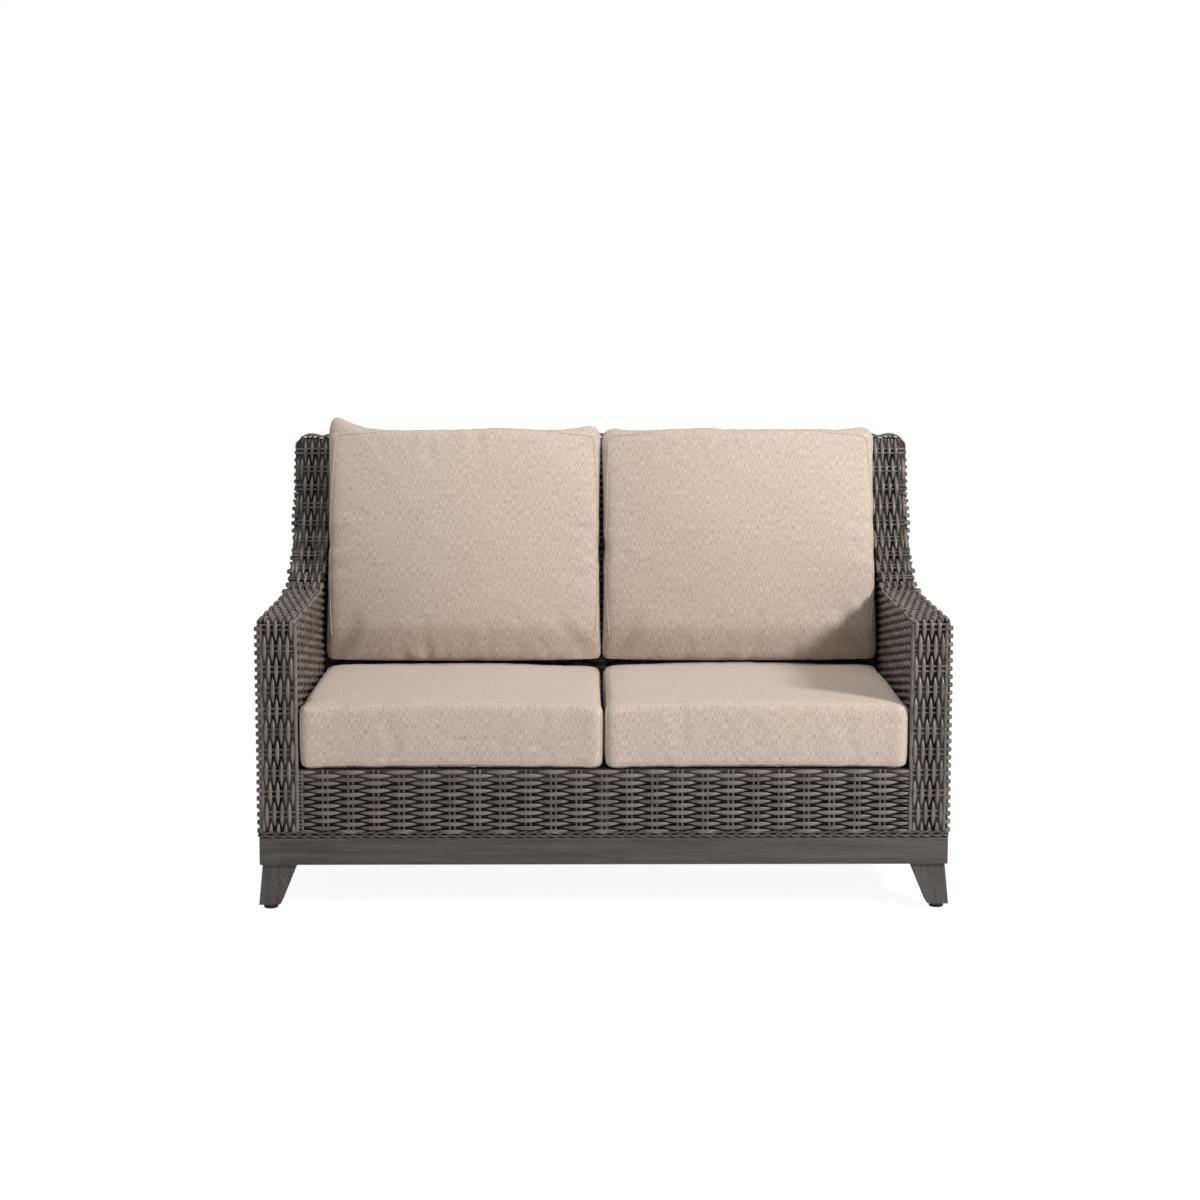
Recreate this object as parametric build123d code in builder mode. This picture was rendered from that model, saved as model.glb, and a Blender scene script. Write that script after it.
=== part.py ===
from build123d import *
import os
from math import cos, pi, radians, sin, tan

os.makedirs("parts", exist_ok=True)

# Overall sizes, in millimetres. X runs along the seat, Y to the back, Z up; the floor is Z 0
overall_width = 1422
overall_depth = 850
frame_height = 930
overrun = 60

# Side profile: a level arm, a scoop, and a leaning back
arm_height = 603
arm_width = 84
arm_nose_radius = 15
scoop_share = 0.6
back_recline = 16
crest_depth = 68
crest_radius = 5
shoulder_radius = 28
base_setback = 60
deck_height = 292

# Woven skins and the braid at their foot
skin = 6
braid_height = 13.6
braid_thick = 4.4
braid_corner_radius = 8

# Base rails, mitred at the corners
ground_gap = 93
rail_height = 57
rail_thick = 32
rail_wall = 2.5
rail_inset = 2.5
rail_edge_radius = 1.5

# Legs, glides, brackets and bolts
leg_top_width = 70
leg_foot_width = 44
leg_inset = 5.5
leg_flare = 7.5
leg_foot_radius = 8
leg_collar = 5
leg_groove = 1.2
leg_groove_depth = 1
glide_radius = 15
glide_height = 10
glide_rim = 2
glide_stem_radius = 4
glide_stem_length = 15
bracket_size = 62
bracket_plate = 4
bracket_corner = 22
bolt_radius = 4
bolt_length = 45
bolt_head_radius = 7.5
bolt_head_height = 5.3
bolt_clearance = 0.2

# Welded tube frame
tube = 25
tube_wall = 1.8
spacer_shares = (0.25, 0.8)
spacer_post_z = 380

# Seat deck
slat_width = 40
slat_thick = 5
slats_each_side = 5

# Cushions
cushion_gap = 0.3
seat_cushion_height = 147
seat_cushion_split = 3
seat_cushion_side_gap = 2
seat_cushion_back_gap = 2
seat_cushion_corner = 24
seat_cushion_crown = 17
seat_cushion_draw = 3
seat_cushion_bulge = 3
seat_cushion_top_edge = 18
seat_cushion_low_edge = 10
back_cushion_thick = 165
back_cushion_split = 4
back_cushion_side_gap = 6
back_cushion_drop = 8.5
back_cushion_corner = 34
back_cushion_sink = 34
back_cushion_crown = 66
back_cushion_rear_crown = 18
back_cushion_draw = 4
back_cushion_bulge = 4
back_cushion_front_edge = 24
back_cushion_rear_edge = 18

# Places worked out from the sizes above
front_y = -overall_depth / 2
half_width = overall_width / 2
base_depth = overall_depth - base_setback
rail_top = ground_gap + rail_height
skin_foot = rail_top + braid_height
rear_lean = (overall_depth - base_depth) / (frame_height - rail_top)
recline = radians(back_recline)
scoop_reach = tan((pi / 2 - recline) / 2)
scoop_radius = scoop_share * (frame_height - arm_height) / (cos(recline) * scoop_reach)
arm_inner_x = half_width - arm_width
outer_tube_x = half_width - skin - tube / 2
inner_tube_x = arm_inner_x + skin + tube / 2
shoulder_z = frame_height - shoulder_radius
rail_length = overall_width - 2 * rail_inset
rail_depth = base_depth - 2 * rail_inset
tube_bore = tube - 2 * tube_wall
sides = (("left", -1), ("right", 1))


def recline_y(z, inset=0):
    """Y of the back's front face at a height, moved into the back by inset."""
    crest_front_y = front_y + overall_depth - crest_depth
    return crest_front_y - (frame_height - z) * tan(recline) + inset / cos(recline)


def rear_y(z, inset=0):
    """Y of the rear face at a height, moved into the back by inset."""
    slope = (1 + rear_lean**2) ** 0.5
    return front_y + base_depth + (z - rail_top) * rear_lean - inset * slope


def keep(piece, label):
    piece.part.label = label
    export_step(piece.part, f"parts/{label}.step")


def side_outline(x, inset, foot_z):
    """Side view of the whole loveseat on the YZ plane at x, moved inwards by inset."""
    arm_z = arm_height - inset
    top_z = frame_height - inset
    with BuildSketch(Plane.YZ.offset(x)) as outline:
        with BuildLine():
            Polyline(
                (front_y + inset, foot_z),
                (front_y + inset, arm_z),
                (recline_y(arm_z, inset), arm_z),
                (recline_y(top_z, inset), top_z),
                (rear_y(top_z, inset), top_z),
                (rear_y(foot_z, inset), foot_z),
                close=True,
            )
        make_face()
        fillet(vertices().sort_by_distance((recline_y(arm_z, inset), arm_z))[0], radius=scoop_radius + inset)
        fillet(vertices().sort_by_distance((front_y + inset, arm_z))[0], radius=arm_nose_radius - inset)
    return outline.sketch


def crest_outline(inset):
    """Front view: full width below the shoulders, and round shoulders moved in by inset."""
    top_z = frame_height - inset
    with BuildSketch(Plane.XZ) as outline:
        with Locations((0, shoulder_z / 2)):
            Rectangle(overall_width, shoulder_z)
        with Locations((0, top_z / 2)):
            RectangleRounded(overall_width - 2 * inset, top_z, shoulder_radius - inset)
    return outline.sketch


def cut_by_crest(inset, mode=Mode.INTERSECT):
    """Keep, or cut away, what lies under the crest outline."""
    extrude(crest_outline(inset), amount=overall_depth, both=True, mode=mode)


def tube_section():
    Rectangle(tube, tube)
    Rectangle(tube_bore, tube_bore, mode=Mode.SUBTRACT)


def straight_tube(label, start, end, side=(0, 0, 1), cut_low_z=None):
    """Hollow square tube from start to end, with its foot cut level where a height is given."""
    start, end = Vector(*start), Vector(*end)
    axis = end - start
    with BuildPart() as piece:
        with BuildSketch(Plane(origin=start, x_dir=side, z_dir=axis)):
            tube_section()
        extrude(amount=axis.length)
        if cut_low_z is not None:
            split(bisect_by=Plane.XY.offset(cut_low_z), keep=Keep.TOP)
    keep(piece, label)


# Base rails: hollow extrusions, cut at 45 degrees where they meet
def base_rail(label, length, middle, along):
    """Rail whose outer face passes through middle and runs along the given direction."""
    plane = Plane(origin=middle, x_dir=along, z_dir=(0, 0, 1))
    start = plane.from_local_coords((-length / 2, rail_thick / 2, rail_height / 2))
    with BuildPart() as rail:
        with BuildSketch(Plane(origin=start, x_dir=plane.y_dir, z_dir=plane.x_dir)):
            RectangleRounded(rail_thick, rail_height, rail_edge_radius)
            Rectangle(rail_thick - 2 * rail_wall, rail_height - 2 * rail_wall, mode=Mode.SUBTRACT)
        extrude(amount=length)
        with BuildSketch(plane):
            with BuildLine():
                Polyline(
                    (-length / 2, 0),
                    (length / 2, 0),
                    (length / 2 - rail_thick, rail_thick),
                    (-length / 2 + rail_thick, rail_thick),
                    close=True,
                )
            make_face()
        extrude(amount=rail_height, mode=Mode.INTERSECT)
    keep(rail, label)


rail_front_y = front_y + rail_inset
rail_back_y = rail_front_y + rail_depth
rail_middle_y = rail_front_y + rail_depth / 2
base_rail("base_rail_front", rail_length, (0, rail_front_y, ground_gap), (1, 0, 0))
base_rail("base_rail_back", rail_length, (0, rail_back_y, ground_gap), (-1, 0, 0))
base_rail("base_rail_left", rail_depth, (-rail_length / 2, rail_middle_y, ground_gap), (0, -1, 0))
base_rail("base_rail_right", rail_depth, (rail_length / 2, rail_middle_y, ground_gap), (0, 1, 0))


# Legs: the same splayed outline in the front view and in the side view, crossed with each other
def leg_outline(plane):
    """Outer edge at zero at the top and flaring outwards to the foot; the inner edge tapers."""
    groove_top = ground_gap - leg_collar
    groove_low = groove_top - leg_groove
    leg_height = ground_gap - glide_height
    flare = leg_flare / leg_height
    taper = (leg_top_width + leg_flare - leg_foot_width) / leg_height
    inner_top = leg_top_width - leg_collar * taper
    inner_low = inner_top - leg_groove * taper
    foot_x = leg_foot_width - leg_flare
    with BuildSketch(plane) as outline:
        with BuildLine():
            Polyline(
                (0, ground_gap),
                (leg_top_width, ground_gap),
                (inner_top, groove_top),
                (inner_top - leg_groove_depth, groove_top),
                (inner_low - leg_groove_depth, groove_low),
                (inner_low, groove_low),
                (foot_x, glide_height),
                (-leg_flare, glide_height),
                (-(leg_collar + leg_groove) * flare, groove_low),
                (leg_groove_depth, groove_low),
                (leg_groove_depth, groove_top),
                (-leg_collar * flare, groove_top),
                close=True,
            )
        make_face()
        fillet(vertices().sort_by_distance((foot_x, glide_height))[0], radius=leg_foot_radius)
    return outline.sketch


leg_outer_x = rail_length / 2 - leg_inset
leg_front_outer_y = rail_front_y + leg_inset
leg_back_outer_y = rail_back_y - leg_inset
leg_foot_middle = leg_foot_width / 2 - leg_flare
bolt_reach = (rail_thick - leg_inset + leg_top_width) / 2
leg_corners = [
    (f"{depth}_{side}", sign, outer_y, inward)
    for depth, outer_y, inward in (("front", leg_front_outer_y, 1), ("back", leg_back_outer_y, -1))
    for side, sign in sides
]

for corner, sign, outer_y, inward in leg_corners:
    bolt_x = sign * (leg_outer_x - bolt_reach)
    bolt_y = outer_y + inward * bolt_reach
    foot_x = sign * (leg_outer_x - leg_foot_middle)
    foot_y = outer_y + inward * leg_foot_middle
    with BuildPart() as leg:
        origin = (sign * leg_outer_x, outer_y, 0)
        front_view = leg_outline(Plane(origin=origin, x_dir=(-sign, 0, 0), z_dir=(0, sign, 0)))
        side_view = leg_outline(Plane(origin=origin, x_dir=(0, inward, 0), z_dir=(inward, 0, 0)))
        extrude(front_view, amount=2 * leg_top_width, both=True)
        extrude(side_view, amount=2 * leg_top_width, both=True, mode=Mode.INTERSECT)
        with Locations(Location((bolt_x, bolt_y, ground_gap))):
            Hole(radius=bolt_radius + bolt_clearance, depth=bolt_length - bracket_plate + bolt_clearance)
        with BuildSketch(Plane.XY.offset(glide_height)):
            with Locations((foot_x, foot_y)):
                Circle(glide_stem_radius + bolt_clearance)
        extrude(amount=glide_stem_length + bolt_clearance, mode=Mode.SUBTRACT)
    keep(leg, f"leg_{corner}")

    with BuildPart() as glide:
        with BuildSketch(Plane.XZ.offset(-foot_y)):
            with BuildLine():
                Polyline(
                    (foot_x, 0),
                    (foot_x + glide_radius - glide_rim, 0),
                    (foot_x + glide_radius, glide_rim),
                    (foot_x + glide_radius, glide_height),
                    (foot_x + glide_stem_radius, glide_height),
                    (foot_x + glide_stem_radius, glide_height + glide_stem_length),
                    (foot_x, glide_height + glide_stem_length),
                    close=True,
                )
            make_face()
        revolve(axis=Axis((foot_x, foot_y, 0), (0, 0, 1)))
    keep(glide, f"glide_{corner}")

# Brackets welded into the base corners, and the bolts that go down through them into the legs
with BuildPart() as leg_brackets:
    for corner, sign, outer_y, inward in leg_corners:
        corner_x = sign * (rail_length / 2 - rail_thick)
        corner_y = outer_y + inward * (rail_thick - leg_inset)
        corner_plane = Plane(origin=(corner_x, corner_y, ground_gap), x_dir=(-sign, 0, 0), z_dir=(0, 0, 1))
        with BuildSketch(corner_plane):
            with BuildLine():
                reach_y = bracket_size * -sign * inward
                cut_y = bracket_corner * -sign * inward
                Polyline(
                    (0, 0),
                    (bracket_size, 0),
                    (bracket_size, reach_y - cut_y),
                    (bracket_size - bracket_corner, reach_y),
                    (0, reach_y),
                    close=True,
                )
            make_face()
        extrude(amount=bracket_plate)
        bolt_x = sign * (leg_outer_x - bolt_reach)
        bolt_y = outer_y + inward * bolt_reach
        with Locations(Location((bolt_x, bolt_y, ground_gap + bracket_plate))):
            Hole(radius=bolt_radius + bolt_clearance, depth=bracket_plate)
keep(leg_brackets, "leg_brackets")

with BuildPart() as leg_bolts:
    for corner, sign, outer_y, inward in leg_corners:
        place = (sign * (leg_outer_x - bolt_reach), outer_y + inward * bolt_reach)
        with BuildSketch(Plane.XY.offset(ground_gap + bracket_plate)):
            with Locations(place):
                RegularPolygon(bolt_head_radius, 6)
        extrude(amount=bolt_head_height)
        with BuildSketch(Plane.XY.offset(ground_gap + bracket_plate - bolt_length)):
            with Locations(place):
                Circle(bolt_radius)
        extrude(amount=bolt_length)
keep(leg_bolts, "leg_bolts")

# Braid: a ring round the foot of the weave, on top of the rails
with BuildPart() as base_braid:
    with BuildSketch(Plane.XY.offset(rail_top)):
        with Locations((0, front_y + base_depth / 2)):
            RectangleRounded(overall_width, base_depth, braid_corner_radius)
            RectangleRounded(
                overall_width - 2 * braid_thick,
                base_depth - 2 * braid_thick,
                braid_corner_radius - braid_thick,
                mode=Mode.SUBTRACT,
            )
    extrude(amount=braid_height)
keep(base_braid, "base_braid")

# Seat deck: a ring of tubes with slats from front to back
deck_tube_z = deck_height - tube / 2
post_y = front_y + skin + tube / 2
deck_back_y = recline_y(deck_height, skin)
deck_front_y = post_y + tube / 2
deck_reach_x = inner_tube_x - tube / 2
deck_side_x = deck_reach_x - tube / 2
straight_tube("deck_front_tube", (-deck_reach_x, post_y, deck_tube_z), (deck_reach_x, post_y, deck_tube_z))
straight_tube(
    "deck_back_tube",
    (-deck_reach_x, deck_back_y + tube / 2, deck_tube_z),
    (deck_reach_x, deck_back_y + tube / 2, deck_tube_z),
)
straight_tube("deck_middle_tube", (0, deck_front_y, deck_tube_z), (0, deck_back_y, deck_tube_z))
straight_tube("apron_post", (0, post_y, rail_top), (0, post_y, deck_height - tube), side=(1, 0, 0))
straight_tube(
    "base_cross_tube",
    (-rail_length / 2 + rail_thick, deck_back_y + tube / 2, rail_top - tube / 2),
    (rail_length / 2 - rail_thick, deck_back_y + tube / 2, rail_top - tube / 2),
)

slat_bay = deck_side_x - tube
slat_pitch = slat_bay / slats_each_side
for side, sign in sides:
    straight_tube(
        f"deck_side_tube_{side}",
        (sign * deck_side_x, deck_front_y, deck_tube_z),
        (sign * deck_side_x, deck_back_y, deck_tube_z),
    )
    straight_tube(
        f"deck_post_{side}",
        (sign * inner_tube_x, deck_back_y + tube / 2, rail_top),
        (sign * inner_tube_x, deck_back_y + tube / 2, deck_height),
        side=(1, 0, 0),
    )
    with BuildPart() as slats:
        with BuildSketch(Plane.XY.offset(deck_height - slat_thick)):
            with Locations((sign * deck_side_x / 2, (deck_front_y + deck_back_y) / 2)):
                with GridLocations(slat_pitch, 0, slats_each_side, 1):
                    Rectangle(slat_width, deck_back_y - deck_front_y)
        extrude(amount=slat_thick)
    keep(slats, f"seat_slats_{side}")

# Crest tubes: square to the leaning faces they carry, rounded with the shoulders at their ends
recline_up = (0, sin(recline), cos(recline))
rear_up = (0, rear_lean, 1)
half_turn = tube / 2 * (sin(recline) + cos(recline))
crest_front_z = frame_height - skin - half_turn
crest_front_mid_y = recline_y(crest_front_z, skin + tube / 2)
rear_slope = (1 + rear_lean**2) ** 0.5
crest_rear_z = frame_height - skin - tube / 2 * (1 + rear_lean) / rear_slope
crest_rear_mid_y = rear_y(crest_rear_z, skin + tube / 2)
crest_tubes = (
    ("crest_tube_front", crest_front_mid_y, crest_front_z, recline_up),
    ("crest_tube_rear", crest_rear_mid_y, crest_rear_z, rear_up),
)
for label, middle_y, middle_z, up in crest_tubes:
    with BuildPart() as crest_tube:
        with BuildSketch(Plane(origin=(-half_width, middle_y, middle_z), x_dir=up, z_dir=(1, 0, 0))):
            tube_section()
        extrude(amount=overall_width)
        cut_by_crest(skin)
        split(bisect_by=Plane.YZ.offset(half_width - skin), keep=Keep.BOTTOM)
        split(bisect_by=Plane.YZ.offset(skin - half_width), keep=Keep.TOP)
    keep(crest_tube, label)

recline_top_y = crest_front_mid_y - tube / 2 * sin(recline)
recline_top_z = crest_front_z - tube / 2 * cos(recline)
rear_top_y = crest_rear_mid_y - tube / 2 * rear_lean / rear_slope
rear_top_z = crest_rear_z - tube / 2 / rear_slope


def rear_post(label, x):
    start_y = rear_y(ground_gap, skin + tube / 2)
    straight_tube(
        label, (x, start_y, ground_gap), (x, rear_top_y, rear_top_z), side=(1, 0, 0), cut_low_z=rail_top
    )


def back_stile(label, x):
    low_z = deck_height - tube
    start_y = recline_y(low_z, skin + tube / 2)
    straight_tube(
        label, (x, start_y, low_z), (x, recline_top_y, recline_top_z), side=(1, 0, 0), cut_low_z=deck_height
    )


rear_post("rear_post_middle", 0)
back_stile("back_stile_middle", 0)

# Arm frames: two posts and two bent tubes each, with short spacers between them
post_top_z = arm_height - skin - tube
arm_tube_inset = skin + tube / 2
arm_tube_y = front_y + arm_nose_radius
arm_tube_z = arm_height - arm_tube_inset
for side, sign in sides:
    rear_post(f"rear_post_{side}", sign * outer_tube_x)
    back_stile(f"back_stile_{side}", sign * deck_side_x)
    for row, x in (("outer", sign * outer_tube_x), ("inner", sign * inner_tube_x)):
        post_foot, post_head = (x, post_y, rail_top), (x, post_y, post_top_z)
        straight_tube(f"front_post_{row}_{side}", post_foot, post_head, side=(1, 0, 0))
        with BuildPart() as arm_tube:
            with BuildLine():
                FilletPolyline(
                    (x, arm_tube_y, arm_tube_z),
                    (x, recline_y(arm_tube_z, arm_tube_inset), arm_tube_z),
                    (x, recline_top_y, recline_top_z),
                    radius=scoop_radius + arm_tube_inset,
                )
            with BuildSketch(Plane(origin=(x, arm_tube_y, arm_tube_z), x_dir=(1, 0, 0), z_dir=(0, 1, 0))):
                tube_section()
            sweep()
        keep(arm_tube, f"arm_tube_{row}_{side}")

spacer_length = outer_tube_x - inner_tube_x - tube
level_end_y = recline_y(arm_tube_z, arm_tube_inset) - (scoop_radius + arm_tube_inset) * scoop_reach
spacer_ys = [arm_tube_y + share * (level_end_y - arm_tube_y) for share in spacer_shares]
with BuildPart() as arm_spacers:
    for side, sign in sides:
        for y, z in [(spacer_y, arm_tube_z) for spacer_y in spacer_ys] + [(post_y, spacer_post_z)]:
            start = (sign * (inner_tube_x + tube / 2), y, z)
            with BuildSketch(Plane(origin=start, x_dir=(0, 1, 0), z_dir=(sign, 0, 0))):
                tube_section()
            extrude(amount=spacer_length)
keep(arm_spacers, "arm_spacers")

# Woven skins of the arms
nose_foot_z = arm_height - arm_nose_radius - skin
recline_facing = (0, -cos(recline), sin(recline))
back_face = Plane(origin=(0, recline_y(deck_height), deck_height), x_dir=(1, 0, 0), z_dir=recline_facing)
for side, sign in sides:
    with BuildPart() as arm_front_weave:
        with BuildSketch(Plane.XZ.offset(-front_y)):
            with Locations((sign * (half_width - arm_width / 2), (skin_foot + nose_foot_z) / 2)):
                Rectangle(arm_width, nose_foot_z - skin_foot)
        extrude(amount=-skin)
    keep(arm_front_weave, f"arm_front_weave_{side}")

    with BuildPart() as arm_top_weave:
        mid_inset = skin / 2
        mid_z = arm_height - mid_inset
        far_z = frame_height + overrun
        middle_x = sign * (half_width - arm_width / 2)
        with BuildLine():
            FilletPolyline(
                (middle_x, front_y + mid_inset, nose_foot_z),
                (middle_x, front_y + mid_inset, mid_z),
                (middle_x, recline_y(mid_z, mid_inset), mid_z),
                (middle_x, recline_y(far_z, mid_inset), far_z),
                radius=[arm_nose_radius - mid_inset, scoop_radius + mid_inset],
            )
        with BuildSketch(Plane(origin=(middle_x, front_y + mid_inset, nose_foot_z), z_dir=(0, 0, 1))):
            Rectangle(arm_width, skin)
        sweep()
        cut_by_crest(skin)
    keep(arm_top_weave, f"arm_top_weave_{side}")

    with BuildPart() as side_weave:
        extrude(side_outline(sign * half_width, skin, skin_foot), amount=-sign * skin)
        split(bisect_by=Plane.XY.offset(shoulder_z), keep=Keep.BOTTOM)
    keep(side_weave, f"side_weave_{side}")

    with BuildPart() as arm_inner_weave:
        extrude(side_outline(sign * arm_inner_x, skin, deck_height), amount=sign * skin)
        split(bisect_by=back_face, keep=Keep.TOP)
    keep(arm_inner_weave, f"arm_inner_weave_{side}")

# Woven skins of the apron and the back
with BuildPart() as apron_weave:
    with BuildSketch(Plane.XZ.offset(-front_y)):
        with Locations((0, (skin_foot + deck_height) / 2)):
            Rectangle(2 * arm_inner_x, deck_height - skin_foot)
    extrude(amount=-skin)
keep(apron_weave, "apron_weave")


def leaning_skin(label, half_span, low_z, face_y):
    """Sheet between two parallel leaning faces, up to the underside of the crest."""
    high_z = frame_height - skin
    with BuildPart() as sheet:
        with BuildSketch(Plane.YZ):
            with BuildLine():
                Polyline(
                    (face_y(low_z), low_z),
                    (face_y(high_z), high_z),
                    (face_y(high_z, skin), high_z),
                    (face_y(low_z, skin), low_z),
                    close=True,
                )
            make_face()
        extrude(amount=half_span, both=True)
        cut_by_crest(skin)
    keep(sheet, label)


leaning_skin("back_front_weave", arm_inner_x, deck_height, recline_y)
leaning_skin("back_rear_weave", half_width, skin_foot, rear_y)

with BuildPart() as crest_weave:
    with BuildSketch(Plane.YZ):
        with BuildLine():
            Polyline(
                (recline_y(shoulder_z), shoulder_z),
                (recline_y(frame_height), frame_height),
                (rear_y(frame_height), frame_height),
                (rear_y(shoulder_z), shoulder_z),
                close=True,
            )
        make_face()
        fillet(vertices().sort_by(Axis.Y)[-1], radius=crest_radius)
    extrude(amount=half_width, both=True)
    cut_by_crest(0)
    cut_by_crest(skin, mode=Mode.SUBTRACT)
keep(crest_weave, "crest_weave")


# Cushions: full sides drawn in between round corners, crowned faces, and soft round edges
def crown_radius(width, depth, crown):
    """Radius of the sphere that falls by crown from the middle to the corners."""
    reach_squared = (width**2 + depth**2) / 4
    return (reach_squared + crown**2) / (2 * crown)


def cushion_plan(z, width, depth, draw, corner):
    """Outline at a height whose four sides pull in by draw between its corners."""
    half_x, half_y = width / 2, depth / 2
    with BuildSketch(Plane.XY.offset(z)) as plan:
        with BuildLine():
            ThreePointArc((-half_x, -half_y), (0, draw - half_y), (half_x, -half_y))
            ThreePointArc((half_x, -half_y), (half_x - draw, 0), (half_x, half_y))
            ThreePointArc((half_x, half_y), (0, half_y - draw), (-half_x, half_y))
            ThreePointArc((-half_x, half_y), (draw - half_x, 0), (-half_x, -half_y))
        make_face()
        fillet(vertices(), radius=corner)
    return plan.sketch


def cushion_block(width, depth, height, draw, corner, bulge):
    """Loft on the XY plane through three outlines, the middle one wider by the bulge all round."""
    narrow = (width - 2 * bulge, depth - 2 * bulge, draw, corner - bulge)
    loft(
        [
            cushion_plan(0, *narrow),
            cushion_plan(height / 2, width, depth, draw, corner),
            cushion_plan(height, *narrow),
        ]
    )


def crown_cut(radius, middle_z):
    """Keep what lies in a sphere; its poles are turned to the sides, away from the crown."""
    with Locations((0, 0, middle_z)):
        Sphere(radius, rotation=(90, 0, 0), mode=Mode.INTERSECT)


def soft_edges(top_edge, low_edge):
    fillet(faces().sort_by(Axis.Z)[-1].edges(), radius=top_edge)
    fillet(faces().sort_by(Axis.Z)[0].edges(), radius=low_edge)


seat_base_z = deck_height + cushion_gap
seat_top_z = seat_base_z + seat_cushion_height
seat_cushion_width = arm_inner_x - seat_cushion_side_gap - seat_cushion_split / 2
seat_cushion_depth = recline_y(deck_height) - front_y - seat_cushion_back_gap
seat_size = (seat_cushion_width, seat_cushion_depth)
seat_crown_radius = crown_radius(*seat_size, seat_cushion_crown)
with BuildPart() as seat_block:
    cushion_block(
        *seat_size, seat_cushion_height, seat_cushion_draw, seat_cushion_corner, seat_cushion_bulge
    )
    crown_cut(seat_crown_radius, seat_cushion_height - seat_crown_radius)
    soft_edges(seat_cushion_top_edge, seat_cushion_low_edge)

back_base_z = seat_top_z + cushion_gap
back_cushion_width = arm_inner_x - back_cushion_side_gap - back_cushion_split / 2
back_cushion_shown = (frame_height - back_base_z) / cos(recline) - back_cushion_drop
back_size = (back_cushion_width, back_cushion_shown + back_cushion_sink)
back_crown_radius = crown_radius(*back_size, back_cushion_crown)
with BuildPart() as back_block:
    cushion_block(
        *back_size, back_cushion_thick, back_cushion_draw, back_cushion_corner, back_cushion_bulge
    )
    crown_cut(back_crown_radius, back_cushion_thick - back_crown_radius)
    back_rear_radius = crown_radius(*back_size, back_cushion_rear_crown)
    crown_cut(back_rear_radius, back_rear_radius)
    soft_edges(back_cushion_front_edge, back_cushion_rear_edge)

facing = Vector(*recline_facing)
rear_plane_rise = Vector(*recline_up) * (back_cushion_shown - back_cushion_sink) / 2
for side, sign in sides:
    seat_x = sign * (seat_cushion_width + seat_cushion_split) / 2
    with BuildPart() as seat_cushion:
        with Locations((seat_x, front_y + seat_cushion_depth / 2, seat_base_z)):
            add(seat_block)
    keep(seat_cushion, f"seat_cushion_{side}")

    # The back cushion leans on the back, and lies flat on the seat cushion under it
    back_x = sign * (back_cushion_width + back_cushion_split) / 2
    back_foot = Vector(back_x, recline_y(back_base_z), back_base_z)
    rear_middle = back_foot + rear_plane_rise + facing * cushion_gap
    with BuildPart() as back_cushion:
        with Locations(Plane(origin=rear_middle, x_dir=(1, 0, 0), z_dir=facing)):
            add(back_block)
        split(bisect_by=Plane.XY.offset(back_base_z), keep=Keep.TOP)
    keep(back_cushion, f"back_cushion_{side}")
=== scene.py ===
# %% [markdown]
# # A woven loveseat for the porch
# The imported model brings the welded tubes, the base rails, the legs and the plain skins.
# This lesson dresses it: woven strand over the skins, a twisted braid at the foot, a wood-grain
# coat on the rails and legs, and four soft cushions. Everything is in metres, in the model's own frame.

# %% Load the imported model
import math
import bmesh
import bpy
import numpy as np
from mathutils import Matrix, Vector
from mathutils.bvhtree import BVHTree


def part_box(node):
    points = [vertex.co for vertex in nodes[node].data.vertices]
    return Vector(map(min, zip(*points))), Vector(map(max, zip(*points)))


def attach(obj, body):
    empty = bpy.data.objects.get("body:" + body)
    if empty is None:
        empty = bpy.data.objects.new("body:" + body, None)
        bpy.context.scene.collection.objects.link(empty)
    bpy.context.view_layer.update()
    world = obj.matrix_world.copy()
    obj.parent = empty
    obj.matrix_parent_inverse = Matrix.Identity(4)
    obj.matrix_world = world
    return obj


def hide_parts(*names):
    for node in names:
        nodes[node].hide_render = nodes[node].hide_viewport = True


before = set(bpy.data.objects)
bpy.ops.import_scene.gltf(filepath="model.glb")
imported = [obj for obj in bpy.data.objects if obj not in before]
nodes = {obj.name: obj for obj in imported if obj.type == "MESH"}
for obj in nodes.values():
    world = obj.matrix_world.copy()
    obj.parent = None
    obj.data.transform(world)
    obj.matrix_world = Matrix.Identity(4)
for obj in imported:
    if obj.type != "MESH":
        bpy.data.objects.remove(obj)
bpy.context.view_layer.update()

SIDES = (("left", -1), ("right", 1))

# %% [markdown]
# Colours are written as hex values, as they look on a screen, and one function turns them linear.
# One more function adds a node to any tree, with its settings and its links. A sum in the form
# ("MULTIPLY", a, b) stands for the maths node that works it out, so the trees below read like recipes.

# %% Helpers for colours, nodes and objects
def linear(hex_colour):
    channels = [int(hex_colour[i:i + 2], 16) / 255 for i in (1, 3, 5)]
    return [c / 12.92 if c <= 0.04045 else ((c + 0.055) / 1.055) ** 2.4 for c in channels] + [1]


def connect(tree, node, inputs):
    """Gives a node's inputs their values; each is a plain value, another node's output or a sum."""
    for key, value in dict(inputs).items():
        if isinstance(value, tuple) and isinstance(value[0], str):
            value = add(tree, value)
        if isinstance(value, bpy.types.NodeSocket):
            tree.links.new(value, node.inputs[key])
        else:
            node.inputs[key].default_value = value


def add(tree, kind, inputs=(), out=0, **settings):
    """Adds a node, or the node of a sum, and gives one of its outputs, or the node if out is None.

    A sum is (operation, terms), with "vector" before an operation on vectors. The stops of a
    colour ramp are pairs of place and colour.
    """
    if isinstance(kind, tuple):
        operation, *terms = kind
        inputs = zip((0, 3) if operation == "vector SCALE" else (0, 1, 2), terms)
        settings = {"operation": operation.split()[-1]}
        kind = "ShaderNodeVectorMath" if operation.startswith("vector") else "ShaderNodeMath"
    made = tree.nodes.new(kind)
    for number, (place, colour) in enumerate(settings.pop("stops", ())):
        made.color_ramp.elements[number].position = place
        made.color_ramp.elements[number].color = linear(colour)
    for name, value in settings.items():
        setattr(made, name, value)
    connect(tree, made, inputs)
    return made if out is None else made.outputs[out]


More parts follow.
